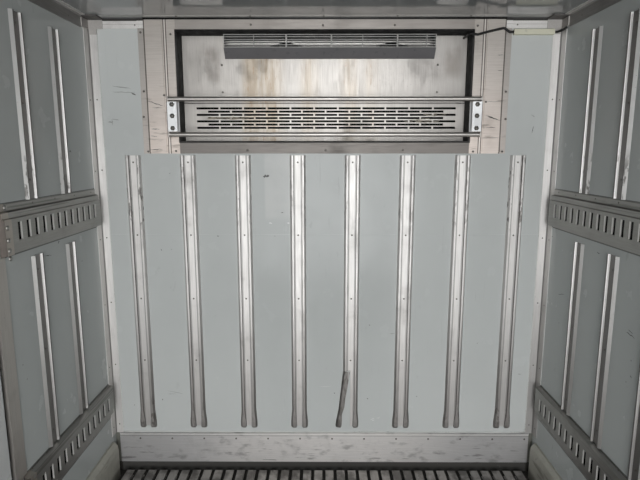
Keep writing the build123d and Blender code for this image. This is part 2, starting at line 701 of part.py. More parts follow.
def lock_rod():
    """Lock rod in its saddles, with a cam at each end and a flat handle cranked out for the hand."""
    y = REAR_SKIN - ROD_BACK
    rod = bar((ROD_X, y, ROD_Z[0]), (ROD_X, y, ROD_Z[1]), ROD_R)
    cam = [(-13, -6), (-6, -14), (8, -14), (13, -8), (13, 10), (5, 14), (-3, 10), (-13, 10)]
    for z in ROD_Z:
        rod += along_z([(ROD_X + u, y + w) for u, w in cam], z - 14, z + 14)
    saddle = [(-34, 0), (-34, -5), (-19, -5), (-17, -28), (-9, -39)]
    saddle += [(9, -39), (17, -28), (19, -5), (34, -5), (34, 0)]
    for height in (60, 1160, 1900):
        z = up(height)
        rod += along_z([(ROD_X + u, REAR_SKIN + w) for u, w in saddle], z - 18, z + 18)
    z = up(760)
    rod += bar((ROD_X, y, z - 24), (ROD_X, y, z + 24), 17)
    handle = [(0, -2), (0, -12), (200, -12), (240, -34), (350, -34), (350, -26), (244, -26), (204, -2)]
    handle = along_z([(ROD_X + u, y + w) for u, w in handle], z - 14, z + 14)
    rod += fillet(handle.edges().filter_by(Axis.Y).group_by(Axis.X)[-1], 12)
    catch = [(0, -46), (-5, -46), (-5, -20), (-41, -20), (-41, -14), (0, -14)]
    catch = [(REAR_SKIN + u, z + w) for u, w in catch]
    rod += along_x(catch, ROD_X + 150, ROD_X + 190)
    return rod


def make_rear_doors():
    z = (REBATE_Z[0] + SHUT_GAP, REBATE_Z[1] - SHUT_GAP)
    plug_z = (OPEN_Z[0] + SEAL_WIDTH + SEAL_GAP, OPEN_Z[1] - SEAL_WIDTH - SEAL_GAP)
    plug_x = (25, OPEN_X - SEAL_WIDTH - SEAL_GAP)
    leaf, seal = leaf_blocks((5, REBATE_X - SHUT_GAP), z, (12, OPEN_X - SEAL_GAP), plug_x, plug_z)
    straps = [hinge_strap(height) for height in HINGE_HEIGHTS]
    pieces = {"": [leaf], "_seal": [seal], "_fittings": [*straps, lock_rod()]}
    for suffix, shapes in pieces.items():
        folded = [turned(shape, PIN_X, PIN_Y, 270) for shape in shapes]
        save(f"rear_door_right{suffix}", folded)
        save(f"rear_door_left{suffix}", [mirror(shape, about=Plane.YZ) for shape in folded])
    keepers = []
    for z in ROD_Z:
        for side in (-1, 1):
            x = ROD_X + side * 24
            cheek = [(0, -20), (-34, -14), (-42, -6), (-42, 6), (-34, 14), (0, 20)]
            keepers.append(along_x([(REAR_SKIN + u, z + w) for u, w in cheek], x - 5, x + 5))
    save("lock_keepers", both_sides(keepers))


def make_side_door():
    frame = doorway_block((-SIDE, -HALF), JAMB, -JAMB)
    frame += block((-HALF, -HALF + 3), side_places(JAMB + 23), (up(0), up(DOORWAY_HEIGHT + JAMB + 23)))
    frame -= block((-SIDE - 1, -HALF + 4), side_places(0), (up(0), up(DOORWAY_HEIGHT)))
    rebate_z = (up(-30), up(DOORWAY_HEIGHT + 30))
    frame -= block((-SIDE - 1, -SIDE + REBATE), side_places(30), rebate_z)
    for low in LASHING_FEET:
        high = low + LASHING_HEIGHT
        notch = block((-HALF, -HALF + 4), side_places(JAMB + 24), (up(low - 1), up(high + 1)))
        notch -= block((-HALF, -HALF + 4), side_places(RAIL_CLEAR - 1), (up(low - 2), up(high + 2)))
        frame -= notch
    save("side_door_frame", [frame])

    skin, step = -SIDE, -SIDE + 30
    leaf = block((skin, step), side_places(24), (rebate_z[0] + 6, rebate_z[1] - 6))
    plug_z = (up(20), up(DOORWAY_HEIGHT - 20))
    leaf += block((step, -HALF), side_places(-20), plug_z)
    save("side_door", [leaf])
    seal = block((step, step + 35), side_places(-5), (plug_z[0] - 15, plug_z[1] + 15))
    save("side_door_seal", [seal - block((step - 1, step + 36), side_places(-20), plug_z)])

    straps, brackets = [], []
    edge = back(DOORWAY_FRONT - 24)
    for height in (130, 900, 1690):
        z = up(height)
        strap = [(0, edge - 200), (0, edge - 12), (-26, SIDE_PIN_Y - 3), (-36, SIDE_PIN_Y - 8)]
        strap += [(-8, edge - 17), (-8, edge - 200)]
        piece = along_z([(skin + x, y) for x, y in strap], z - 25, z + 25)
        piece += bar((SIDE_PIN_X, SIDE_PIN_Y, z - 27), (SIDE_PIN_X, SIDE_PIN_Y, z + 27), 12)
        piece -= bar((SIDE_PIN_X, SIDE_PIN_Y, z - 28), (SIDE_PIN_X, SIDE_PIN_Y, z + 28), PIN_R + 0.05)
        straps.append(piece)
        bracket = block((skin - 6, skin), (SIDE_PIN_Y - 12, SIDE_PIN_Y + 40), (z - 50, z + 50))
        lug = [(26, 36), (26, -10), (5, -11), (-5, -11), (-11, -5), (-11, 5), (-7, 10)]
        for low in (-40, 28):
            bracket += along_z([(SIDE_PIN_X + u, SIDE_PIN_Y + w) for u, w in lug], z + low, z + low + 12)
        bracket += bar((SIDE_PIN_X, SIDE_PIN_Y, z - 40), (SIDE_PIN_X, SIDE_PIN_Y, z + 40), PIN_R)
        brackets.append(bracket)
    rear_brackets = both_sides([hinge_bracket(height) for height in HINGE_HEIGHTS])
    save("hinge_brackets", [*rear_brackets, *brackets])

    y = back(DOORWAY_FRONT + DOORWAY_WIDTH - 90)
    x = skin - 22
    rod = bar((x, y, up(10)), (x, y, up(DOORWAY_HEIGHT - 10)), 10)
    saddle = [(0, -32), (-5, -32), (-5, -17), (-27, -15), (-36, -8)]
    saddle += [(-36, 8), (-27, 15), (-5, 17), (-5, 32), (0, 32)]
    for height in (60, 1160, 1780):
        z = up(height)
        rod += along_z([(skin + u, y + w) for u, w in saddle], z - 18, z + 18)
    z = up(820)
    rod += bar((x, y, z - 22), (x, y, z + 22), 15)
    handle = [(-2, 0), (-12, 0), (-12, 170), (-32, 205), (-32, 290), (-24, 290), (-24, 209), (-2, 174)]
    handle = along_z([(x + u, y + w) for u, w in handle], z - 13, z + 13)
    rod += fillet(handle.edges().filter_by(Axis.X).group_by(Axis.Y)[-1], 11)
    catch = [(0, -46), (-5, -46), (-5, -19), (-38, -19), (-38, -13), (0, -13)]
    rod += along_y([(skin + u, z + w) for u, w in catch], y + 120, y + 160)
    save("side_door_fittings", [*straps, rod])


def make_bumpers():
    """Rubber buffers that the folded doors stop on."""
    reach = PIN_X + PIN_BACK - 5
    buffers = []
    for height in (420, 1500):
        y = PIN_Y + 620
        buffers.append(block((SIDE, reach), (y - 25, y + 25), (up(height) - 25, up(height) + 25)))
    side = block((-SIDE, SIDE_PIN_X - 27), (back(210), back(160)), (up(1400), up(1450)))
    save("door_buffers", [*both_sides(buffers), side])


os.makedirs("parts", exist_ok=True)
make_panels()
make_floor_rails()
make_rear_frame()
make_edge_rails()
make_underframe()
make_mounting_brackets()
make_marker_lamps()
make_rain_gutter()
make_trims()
make_ribs()
make_lashing_rails()
make_floor_trims()
make_recess()
make_evaporator()
make_outlet()
make_guard()
make_evaporator_fans()
make_sensor()
make_condenser()
make_rear_doors()
make_side_door()
make_bumpers()
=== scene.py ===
"""Looks of a refrigerated truck's load body, built round its fixed frame.

Metres, in the frame's own axes: +Y to the cab, +X right, +Z up.
"""

import math
import random

import bpy
from mathutils import Euler, Matrix, Vector


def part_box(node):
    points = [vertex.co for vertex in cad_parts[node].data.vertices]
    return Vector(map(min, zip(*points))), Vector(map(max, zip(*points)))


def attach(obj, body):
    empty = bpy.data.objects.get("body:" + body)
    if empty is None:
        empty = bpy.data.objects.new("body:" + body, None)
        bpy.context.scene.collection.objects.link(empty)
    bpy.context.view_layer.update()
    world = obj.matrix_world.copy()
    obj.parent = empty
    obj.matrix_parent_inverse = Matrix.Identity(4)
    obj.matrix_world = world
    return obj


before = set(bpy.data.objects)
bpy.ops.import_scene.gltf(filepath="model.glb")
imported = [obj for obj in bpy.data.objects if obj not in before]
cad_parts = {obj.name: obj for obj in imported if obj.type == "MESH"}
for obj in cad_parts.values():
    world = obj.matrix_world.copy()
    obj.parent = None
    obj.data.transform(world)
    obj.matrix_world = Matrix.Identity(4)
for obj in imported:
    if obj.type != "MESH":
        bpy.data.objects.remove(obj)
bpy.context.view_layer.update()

# Planes of the load space, read from the frame
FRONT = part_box("front_wall")[0].y
FRONT_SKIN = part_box("front_wall")[1].y
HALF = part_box("right_wall")[0].x
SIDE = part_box("right_wall")[1].x
FLOOR_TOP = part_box("floor_rails")[1].z
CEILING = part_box("roof_panel")[0].z
ROOF_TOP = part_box("roof_panel")[1].z
REAR_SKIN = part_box("rear_frame")[0].y
WALL_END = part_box("right_wall")[0].y
PANEL_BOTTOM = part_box("right_wall")[0].z
SILL_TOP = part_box("long_sills")[1].z

# Ribs: across the front wall, and back along the side walls
FRONT_RIBS = [-0.836, -0.596, -0.356, -0.116, 0.124, 0.364, 0.604, 0.844]
RIBS_START = 0.3
RIB_PITCH = 0.24

# Hinge pins of the rear doors and the side door, and the hinges' heights over the floor rails
PIN = Vector((SIDE + 0.027, REAR_SKIN - 0.040, 0))
SIDE_PIN_Y = FRONT - 0.730
HINGES, SIDE_HINGES = (0.09, 1.0, 1.9), (0.13, 0.9, 1.69)

# Camera: how far behind the front wall, how high over the floor rails, and its aim in degrees
CAMERA_X = -0.007
CAMERA_BACK = 2.300
CAMERA_HEIGHT = 1.493
CAMERA_PITCH = 9.65
CAMERA_YAW = 0.29
LENS = 29.29
SENSOR = 36
FOCAL = LENS / SENSOR * 640

BODY = "load_body"


def up(height):
    return FLOOR_TOP + height


def back(distance):
    return FRONT - distance


EYE = Vector((CAMERA_X, back(CAMERA_BACK), up(CAMERA_HEIGHT)))
CAMERA_TURN = (math.radians(90 - CAMERA_PITCH), 0, math.radians(CAMERA_YAW))


# Material building


class Look:
    """A material's node tree, with short calls for the nodes that every finish here uses."""

    def __init__(self, name, base, roughness, metallic=0.0):
        self.material = bpy.data.materials.new(name)
        self.material.use_nodes = True
        self.nodes = self.material.node_tree.nodes
        self.links = self.material.node_tree.links
        self.shader = self.nodes["Principled BSDF"]
        self.set("Base Color", (*base, 1))
        self.set("Roughness", roughness)
        self.set("Metallic", metallic)
        self.place = self.nodes.new("ShaderNodeTexCoord").outputs["Object"]
        self.height = None

    def set(self, socket, value):
        self.feed(self.shader.inputs[socket], value)

    def feed(self, socket, value):
        if isinstance(value, bpy.types.NodeSocket):
            self.links.new(value, socket)
        else:
            socket.default_value = value

    def stretched(self, scale):
        node = self.nodes.new("ShaderNodeMapping")
        self.links.new(self.place, node.inputs["Vector"])
        node.inputs["Scale"].default_value = scale
        return node.outputs["Vector"]

    def noise(self, scale, detail=4.0, stretch=(1, 1, 1), roughness=0.55):
        node = self.nodes.new("ShaderNodeTexNoise")
        self.links.new(self.stretched(stretch), node.inputs["Vector"])
        node.inputs["Scale"].default_value = scale
        node.inputs["Detail"].default_value = detail
        node.inputs["Roughness"].default_value = roughness
        return node.outputs["Fac"]

    def remap(self, value, low, high, to_low=0.0, to_high=1.0):
        node = self.nodes.new("ShaderNodeMapRange")
        node.interpolation_type = "SMOOTHSTEP"
        self.feed(node.inputs["Value"], value)
        for socket, place in zip(("From Min", "From Max", "To Min", "To Max"), (low, high, to_low, to_high)):
            node.inputs[socket].default_value = place
        return node.outputs["Result"]

    def maths(self, operation, first, second=0.0):
        node = self.nodes.new("ShaderNodeMath")
        node.operation = operation
        self.feed(node.inputs[0], first)
        self.feed(node.inputs[1], second)
        return node.outputs[0]

    def times(self, first, *others):
        for other in others:
            first = self.maths("MULTIPLY", first, other)
        return first

    def mix(self, first, second, factor):
        node = self.nodes.new("ShaderNodeMix")
        node.data_type = "RGBA"
        for socket, value in (("A", first), ("B", second)):
            target = [s for s in node.inputs if s.name == socket and s.type == "RGBA"][0]
            self.feed(target, (*value, 1) if isinstance(value, tuple) else value)
        self.feed(node.inputs["Factor"], factor)
        return [s for s in node.outputs if s.type == "RGBA"][0]

    def axis(self, letter):
        node = self.nodes.new("ShaderNodeSeparateXYZ")
        self.links.new(self.place, node.inputs[0])
        return node.outputs[letter]

    def across(self):
        """Distance from the middle, to either side."""
        return self.maths("ABSOLUTE", self.axis("X"))

    def normal(self, letter):
        """The part of the face's direction along an axis."""
        node = self.nodes.new("ShaderNodeSeparateXYZ")
        self.links.new(self.nodes.new("ShaderNodeNewGeometry").outputs["True Normal"], node.inputs[0])
        return node.outputs[letter]

    def band(self, letter, low, high, soft=0.01):
        """1 between two places along an axis, fading to 0 outside."""
        value = self.axis(letter)
        rise = self.remap(value, low - soft, low + soft)
        fall = self.remap(value, high - soft, high + soft, 1.0, 0.0)
        return self.times(rise, fall)

    def heights(self, low, high, to_low=0.0, to_high=1.0):
        """A remap over heights above the floor rails."""
        return self.remap(self.axis("Z"), up(low), up(high), to_low, to_high)

    def level(self, low, high, soft=0.01):
        """1 between two heights above the floor rails."""
        return self.band("Z", up(low), up(high), soft)

    def bump(self, height, distance):
        """Adds a height map, in metres at its full range."""
        node = self.nodes.new("ShaderNodeBump")
        self.links.new(height, node.inputs["Height"])
        node.inputs["Distance"].default_value = distance
        if self.height is not None:
            self.links.new(self.height, node.inputs["Normal"])
        self.height = node.outputs["Normal"]
        self.links.new(self.height, self.shader.inputs["Normal"])


def scratches(look, scale, stretch, low, high):
    """Thin marks drawn out along one axis, broken up by a coarser noise."""
    lines = look.remap(look.noise(scale, 2.0, stretch), low, high)
    patches = look.remap(look.noise(2.3, 3.0), 0.45, 0.62)
    return look.times(lines, patches)


def outer_mask(look):
    """1 on the body's outer skins, 0 in the load space."""
    middle = 0.03
    sides = look.maths("GREATER_THAN", look.across(), HALF + middle)
    top = look.maths("GREATER_THAN", look.axis("Z"), CEILING + middle)
    front = look.maths("GREATER_THAN", look.axis("Y"), FRONT + middle)
    return look.maths("MAXIMUM", look.maths("MAXIMUM", sides, top), front)


def scaled(colour, factor):
    return tuple(min(1, c * factor) for c in colour)


def painted_panel(name, colour, gloss, sheen=0.2, outside=None, marks_and_shading=None, shaded_foot=True):
    """Satin skin of an insulated panel: slightly wavy, scuffed, with faint dirt runs, and by default painted
    shade near black along its foot.
    """
    look = Look(name, colour, gloss)
    tone = look.mix(colour, scaled(colour, 0.93), look.remap(look.noise(1.3, 5.0), 0.4, 0.68))
    runs = look.noise(7.0, 4.0, (1, 1, 0.14))
    tone = look.mix(tone, scaled(colour, 0.86), look.remap(runs, 0.56, 0.8, 0.0, 0.45))
    rubs = look.noise(24.0, 6.0, (1, 1, 0.5))
    tone = look.mix(tone, scaled(colour, 0.72), look.remap(rubs, 0.68, 0.76, 0.0, 0.4))
    specks = look.remap(look.noise(150.0, 2.0), 0.77, 0.8, 0.0, 0.6)
    tone = look.mix(tone, scaled(colour, 0.5), specks)
    scuffs = scratches(look, 90.0, (1, 1, 0.05), 0.68, 0.74)
    tone = look.mix(tone, scaled(colour, 0.75), look.times(scuffs, 0.4))
    if marks_and_shading is not None:
        tone = marks_and_shading(look, tone)
    # Painted shade: near black below 16 mm over the floor rails, where the panel's foot lies in shade under
    # the kick plate and between the floor rails.
    if shaded_foot:
        foot = look.heights(0.016, 0.018, 1.0, 0.0)
        tone = look.mix(tone, (0.045, 0.042, 0.038), look.times(foot, 0.95))
    if outside is not None:
        tone = look.mix(tone, outside, outer_mask(look))
    look.set("Base Color", tone)
    look.set("Roughness", look.remap(look.noise(9.0, 5.0), 0.3, 0.7, gloss * 0.8, gloss * 1.4))
    look.set("Specular IOR Level", sheen)
    look.bump(look.noise(1.6, 2.0), 0.004)
    look.bump(look.noise(260.0, 2.0), 0.00003)
    return look.material


def bare_metal(name, colour, roughness, grain, grime=0.3, dirt=(0.16, 0.145, 0.13), marks_and_shading=None):
    """Mill or brushed metal. Grain is the noise stretch that draws its lines out along one axis."""
    look = Look(name, colour, roughness, 1.0)
    lines = look.noise(420.0, 3.0, grain)
    tone = look.mix(colour, scaled(colour, 0.94), look.remap(lines, 0.35, 0.7))
    clouds = look.noise(6.0, 6.0, roughness=0.6)
    tone = look.mix(tone, dirt, look.remap(clouds, 0.52, 0.82, 0.0, grime))
    cuts = look.remap(look.noise(130.0, 2.0, grain), 0.68, 0.74)
    tone = look.mix(tone, scaled(colour, 0.7), look.times(cuts, 0.22))
    specks = look.remap(look.noise(190.0, 2.0), 0.72, 0.78)
    tone = look.mix(tone, dirt, look.times(specks, 0.6))
    if marks_and_shading is not None:
        tone = marks_and_shading(look, tone)
    look.set("Base Color", tone)
    rough = look.remap(lines, 0.3, 0.7, roughness * 0.92, roughness * 1.1)
    look.set("Roughness", look.maths("ADD", rough, look.remap(clouds, 0.5, 0.8, 0.0, 0.15)))
    look.bump(lines, 0.00003)
    look.bump(look.noise(5.0, 3.0), 0.0012)
    return look.material


# Stained stretches of the unit's cover: (from, to, strength)
STAINS = [(-0.355, -0.19, 0.9), (-0.10, -0.03, 0.55), (0.08, 0.14, 0.6), (0.18, 0.23, 0.45)]


def cover_streaks(look, tone):
    """Water marks, rust runs and two smoky patches on the evaporator's cover."""
    runs = look.remap(look.noise(26.0, 5.0, (1, 1, 0.06)), 0.44, 0.62)
    smears = look.remap(look.noise(70.0, 5.0, (1, 1, 0.14)), 0.42, 0.6)
    rust = look.remap(look.noise(95.0, 4.0, (1, 1, 0.2)), 0.6, 0.68)
    layers = ((1.0, (0.50, 0.43, 0.34), 0.35), (runs, (0.36, 0.295, 0.215), 0.55))
    layers += ((smears, (0.25, 0.2, 0.145), 0.35), (rust, (0.30, 0.17, 0.09), 0.5))
    for low, high, amount in STAINS:
        stain = look.times(look.band("X", low, high, 0.03), amount)
        for marks, colour, depth in layers:
            tone = look.mix(tone, colour, look.times(stain, marks, depth))
    tone = look.mix(tone, (0.27, 0.26, 0.25), look.remap(look.axis("X"), 0.25, 0.55, 0.0, 0.35))
    smoke = look.remap(look.noise(9.0, 4.0, (1, 1, 0.45)), 0.38, 0.6)
    for low, high, bottom, top in ((-0.545, -0.462, 1.79, 1.94), (0.52, 0.60, 1.82, 1.95)):
        patch = look.times(look.band("X", low, high, 0.025), look.level(bottom, top, 0.03))
        tone = look.mix(tone, (0.26, 0.24, 0.22), look.times(patch, smoke, 0.75))
    return tone


# Folds of the recess frame, drawn as lines of painted shade, one of painted highlight and a darker strip:
# (distance from the middle, to, colour, depth)
FOLD_SHADE_AND_HIGHLIGHT = [
    (0.6635, 0.668, (0.10, 0.085, 0.075), 0.8),
    (0.669, 0.6735, (0.92, 0.88, 0.84), 0.7),
    (0.6745, 0.679, (0.12, 0.10, 0.09), 0.8),
    (0.755, 0.7605, (0.08, 0.07, 0.06), 0.85),
    (0.7615, 0.79, (0.40, 0.385, 0.37), 0.5),
]


def surround_tone(look, tone):
    """Painted shade and highlight along the recess frame's folds, a darker strip, and painted shade on its
    flanges over and under the opening.
    """
    across = look.across()
    tone = look.mix(tone, (0.78, 0.69, 0.635), look.heights(1.5, 1.95, 0.6, 0.0))
    tone = look.mix(tone, (0.42, 0.39, 0.36), look.heights(1.85, 2.05, 0.0, 0.3))
    smears = look.remap(look.noise(26.0, 5.0, (0.35, 1, 1.6)), 0.56, 0.68)
    reach = look.level(1.48, 1.76, 0.05)
    tone = look.mix(tone, (0.25, 0.215, 0.185), look.times(smears, reach, 0.55))
    soft = 0.0008
    # Painted shade in the folds' creases and a painted highlight on one fold's edge
    for start, end, colour, depth in FOLD_SHADE_AND_HIGHLIGHT:
        rise = look.remap(across, start - soft, start + soft)
        fall = look.remap(across, end - soft, end + soft, 1.0, 0.0)
        tone = look.mix(tone, colour, look.times(rise, fall, depth))
    inside = look.band("X", -0.627, 0.627, 0.001)
    # Painted shade: the flanges over and under the opening are darker copies of the stainless
    for low, high, share in ((1.47, 1.535, 0.36), (1.99, 2.05, 0.67)):
        flange_shade = look.times(inside, look.level(low, high, 0.002))
        tone = look.mix(tone, scaled(STAINLESS, share), flange_shade)
    # Painted highlight: a bright line along the upper flange's lower edge
    tone = look.mix(tone, (1.0, 0.97, 0.94), look.times(inside, look.level(1.989, 1.996, 0.001)))
    return look.mix(tone, (0.02, 0.02, 0.02), look.heights(2.036, 2.038))


def rib_wear_and_shade(letter, first):
    """Wear, knocks, dirt and painted shade of a row of ribs along an axis, the first of them at a given
    place.
    """

    def marks_and_shading(look, tone):
        offset = look.maths("PINGPONG", look.maths("SUBTRACT", look.axis(letter), first), RIB_PITCH / 2)
        level = look.maths("ABSOLUTE", look.normal("Y" if letter == "X" else "X"))
        if letter == "X":
            # Dirt and painted shade: front rib faces turned sideways, the slopes, are darkened
            tone = look.mix(tone, (0.15, 0.14, 0.135), look.remap(level, 0.25, 0.75, 0.8, 0.0))
            # Painted shade in the creases either side of each rib's flat
            crease = look.remap(offset, 0.0105, 0.0135)
            crease = look.times(crease, look.remap(offset, 0.018, 0.0195, 1.0, 0.0))
            tone = look.mix(tone, (0.2, 0.195, 0.19), look.times(crease, 0.6))
        else:
            # Painted dark reflection: side rib faces lying flat to the wall are darkened
            tone = look.mix(tone, (0.13, 0.125, 0.12), look.remap(level, 0.88, 0.97, 0.0, 0.9))
        tone = look.mix(tone, (0.30, 0.285, 0.275), look.heights(0.2, 0.95, 0.36, 0.0))
        knocks = look.remap(look.noise(70.0, 5.0, (1, 1, 0.3)), 0.53, 0.6)
        ridge = look.remap(offset, 0.014, 0.017)
        ends = look.maths("ADD", look.level(1.16, 1.47, 0.04), look.level(0.2, 0.33, 0.04))
        reach = look.times(ridge, ends)
        if letter == "X":
            reach = look.times(reach, look.remap(look.across(), 0.5, 0.8, 0.35, 1.0))
        tone = look.mix(tone, (0.12, 0.11, 0.1), look.times(knocks, reach, 0.7))
        if letter == "Y":
            return tone
        legs = look.times(look.remap(offset, 0.0165, 0.019), look.heights(0.2, 0.9, 0.6, 0.0))
        tone = look.mix(tone, (0.21, 0.19, 0.18), legs)
        torn = look.times(look.band("X", 0.034, 0.123, 0.001), look.level(0.1, 0.482, 0.003))
        ragged = look.remap(look.noise(60.0, 5.0, (1, 1, 0.4)), 0.42, 0.6, 0.5, 0.95)
        return look.mix(tone, (0.20, 0.19, 0.18), look.times(torn, ragged))

    return marks_and_shading


# Heights of the lashing rails' creases and edges over the floor rails: (low, high, depth of the line of dirt
# and painted shade)
RAIL_LINES = [
    (1.3305, 1.333, 0.6), (1.3065, 1.3095, 0.65), (1.286, 1.288, 0.55), (1.1695, 1.1755, 0.9),
    (0.271, 0.2735, 0.6), (0.2945, 0.2975, 0.65), (0.3165, 0.3185, 0.55), (0.433, 0.435, 0.7),
]


def rail_dirt_and_shade(look, tone):
    """Lashing rails: dirt and painted shade along the creases, painted shade in the hollows, slot walls made
    pale to read as lit, browner plates by the doorway.
    """
    across = look.axis("X")
    broken = look.remap(look.noise(30.0, 4.0, (1, 0.1, 1)), 0.3, 0.6, 0.55, 1.0)
    # Dirt and painted shade: dark lines in the creases and along the edges, broken up by noise
    for low, high, depth in RAIL_LINES:
        line = look.times(look.level(low, high, 0.0008), broken)
        tone = look.mix(tone, (0.03, 0.028, 0.026), look.times(line, depth))
    marks = look.remap(look.noise(85.0, 3.0, (1, 0.02, 1)), 0.56, 0.66)
    flanges = look.maths("ADD", look.level(1.298, 1.337, 0.002), look.level(0.395, 0.437, 0.002))
    tone = look.mix(tone, (0.1, 0.095, 0.09), look.times(marks, flanges, 0.5))
    plates = [look.band("Y", back(far), back(near), 0.001) for far, near in ((0.743, 0.705), (1.605, 1.567))]
    at_plate = look.maths("ADD", *plates)
    left = look.maths("LESS_THAN", across, 0.0)
    slot_wall = look.remap(look.normal("Y"), -0.9, -0.7, 1.0, 0.0)
    edge = look.times(slot_wall, at_plate, left)
    tone = look.mix(tone, (0.50, 0.44, 0.39), look.times(at_plate, left, 0.6))
    # Painted shade: faces turned towards the wall, in the rails' hollows, are near black
    outward = look.times(look.maths("SIGN", across), look.normal("X"))
    tone = look.mix(tone, (0.01, 0.01, 0.01), look.remap(outward, 0.5, 0.9))
    cap = look.band("Y", back(0.744), back(0.737), 0.001)
    # Painted light: faces turned to the rear, the slots' far walls, are made pale and non-metallic so they
    # read as lit
    slot_wall = look.times(slot_wall, look.maths("SUBTRACT", 1.0, cap))
    look.set("Metallic", look.maths("SUBTRACT", 1.0, slot_wall))
    tone = look.mix(tone, (0.5, 0.495, 0.475), slot_wall)
    return look.mix(tone, (0.17, 0.155, 0.145), edge)


def rail_shade(look, tone):
    """Painted shade in the hollow behind the lashing rails, and dark lines of dirt and painted shade along
    their edges.
    """
    # Painted shade: the wall behind the rails is near black
    for low, high in ((1.172, 1.33), (0.274, 0.432)):
        tone = look.mix(tone, (0.006, 0.006, 0.006), look.level(low, high, 0.001))
    for low, high in ((1.333, 1.336), (1.1655, 1.169), (0.435, 0.438), (0.2675, 0.271)):
        tone = look.mix(tone, (0.05, 0.05, 0.048), look.times(look.level(low, high, 0.001), 0.75))
    return tone


def ring_shade(look, tone):
    """Painted shade over the fan plate, all but its top edge."""
    return look.mix(tone, (0.012, 0.012, 0.012), look.heights(1.955, 1.965, 1.0, 0.0))


def kick_smudges_and_light(look, tone):
    """Kick plate: cooler towards its ends, smeared and scored low down, a painted highlight along its lip
    over a line of painted shade.
    """
    tone = look.mix(tone, (0.50, 0.505, 0.52), look.remap(look.across(), 0.3, 0.75, 0.0, 0.55))
    blots = look.remap(look.noise(14.0, 6.0, (1, 1, 1.8)), 0.52, 0.72)
    tone = look.mix(tone, (0.22, 0.215, 0.215), look.times(blots, 0.5))
    lines = look.remap(look.noise(75.0, 4.0, (0.12, 1, 1)), 0.6, 0.68)
    lines = look.times(lines, look.level(0.0, 0.095, 0.02), 0.5)
    tone = look.mix(tone, (0.1, 0.09, 0.09), lines)
    # Painted shade: a dim line under the lip
    tone = look.mix(tone, (0.25, 0.24, 0.235), look.times(look.level(0.150, 0.155, 0.001), 0.35))
    # Painted highlight: a bright line along the lip
    return look.mix(tone, (0.96, 0.95, 0.93), look.times(look.level(0.157, 0.165, 0.001), 0.7))


def trim_rubs_and_shade(look, tone):
    """Upright trims: painted shade on the side flange and in the corner fold, darker low down, and higher up
    on the left, with patches of dirt and painted shade beside the rails.
    """
    across = look.across()
    # Painted shade: faces turned sideways, the side flange, are darker
    side = look.remap(look.maths("ABSOLUTE", look.normal("X")), 0.7, 0.9, 0.0, 0.55)
    right = look.maths("GREATER_THAN", look.axis("X"), 0.0)
    share = look.remap(right, 0.0, 1.0, 0.2, 1.0)
    lower = look.times(look.heights(0.55, 1.3, 0.5, 0.0), share)
    upper = look.times(look.heights(1.5, 1.85, 0.0, 0.3), look.maths("SUBTRACT", 1.0, right))
    for darker_part in (side, lower, upper):
        tone = look.mix(tone, (0.45, 0.44, 0.43), darker_part)
    # Painted shade: a dark line along the fold in the corner
    corner = look.remap(look.axis("Y"), back(0.011), back(0.006))
    fold = look.times(look.remap(across, HALF - 0.0085, HALF - 0.005), corner, 0.75)
    tone = look.mix(tone, (0.16, 0.15, 0.145), fold)
    tone = look.mix(tone, (0.36, 0.35, 0.34), look.times(look.heights(0.2, 0.9, 0.35, 0.0), share))
    # Dirt and painted shade in patches beside the rails
    beside = look.maths("ADD", look.level(1.16, 1.34, 0.03), look.level(0.27, 0.44, 0.03))
    beside_dark = look.times(beside, look.remap(look.noise(18.0, 5.0), 0.35, 0.6, 0.15, 0.5))
    beside_dark = look.times(beside_dark, share, look.remap(across, HALF - 0.02, HALF - 0.008))
    return look.mix(tone, (0.3, 0.29, 0.28), beside_dark)


def ceiling_trim_tone(look, tone):
    """Ceiling trims, darker along the sides but for their lip, with a line of painted shade for a shallow
    groove across the front.
    """
    behind = look.remap(look.axis("Y"), back(0.069), back(0.066), 1.0, 0.0)
    sides = look.times(behind, look.heights(2.039, 2.0405, 1.0, 0.0), 0.85)
    tone = look.mix(tone, (0.20, 0.195, 0.19), sides)
    top = look.times(look.remap(look.axis("Y"), back(0.069), back(0.066)), look.heights(2.0305, 2.032))
    tone = look.mix(tone, (0.07, 0.068, 0.066), top)
    # Painted shade: a dark line for the groove
    return look.mix(tone, (0.3, 0.29, 0.28), look.times(look.level(2.0165, 2.0185, 0.0006), 0.4))


def cap_tone(look, tone):
    """Corner caps: shaded beside the fold, dark where they meet the ceiling."""
    side = look.remap(look.maths("ABSOLUTE", look.normal("X")), 0.7, 0.9, 0.0, 0.6)
    tone = look.mix(tone, (0.2, 0.19, 0.185), side)
    return look.mix(tone, (0.07, 0.068, 0.066), look.heights(2.033, 2.035, 0.0, 0.8))


# How far the dark joint over the recess frame runs to each side
TOP_JOINT = 0.762


def ceiling_tone(look, tone):
    """The trim's flange along the front of the ceiling, and the dark joint over the recess frame."""
    strip = look.band("Y", back(0.05), back(0.012), 0.0012)
    tone = look.mix(tone, (0.75, 0.75, 0.74), look.times(strip, 0.8))
    joint = look.remap(look.axis("Y"), back(0.0125), back(0.011))
    joint = look.times(look.band("X", -TOP_JOINT, TOP_JOINT, 0.001), joint)
    return look.mix(tone, (0.008, 0.008, 0.008), joint)


def guard_tone(look, tone):
    """Bright zinc on the guard's end plates."""
    facing = look.remap(look.normal("Y"), -0.95, -0.9, 1.0, 0.0)
    ends = look.remap(look.across(), 0.621, 0.6225)
    return look.mix(tone, (0.74, 0.75, 0.76), look.times(facing, look.level(1.577, 1.699, 0.0005), ends))


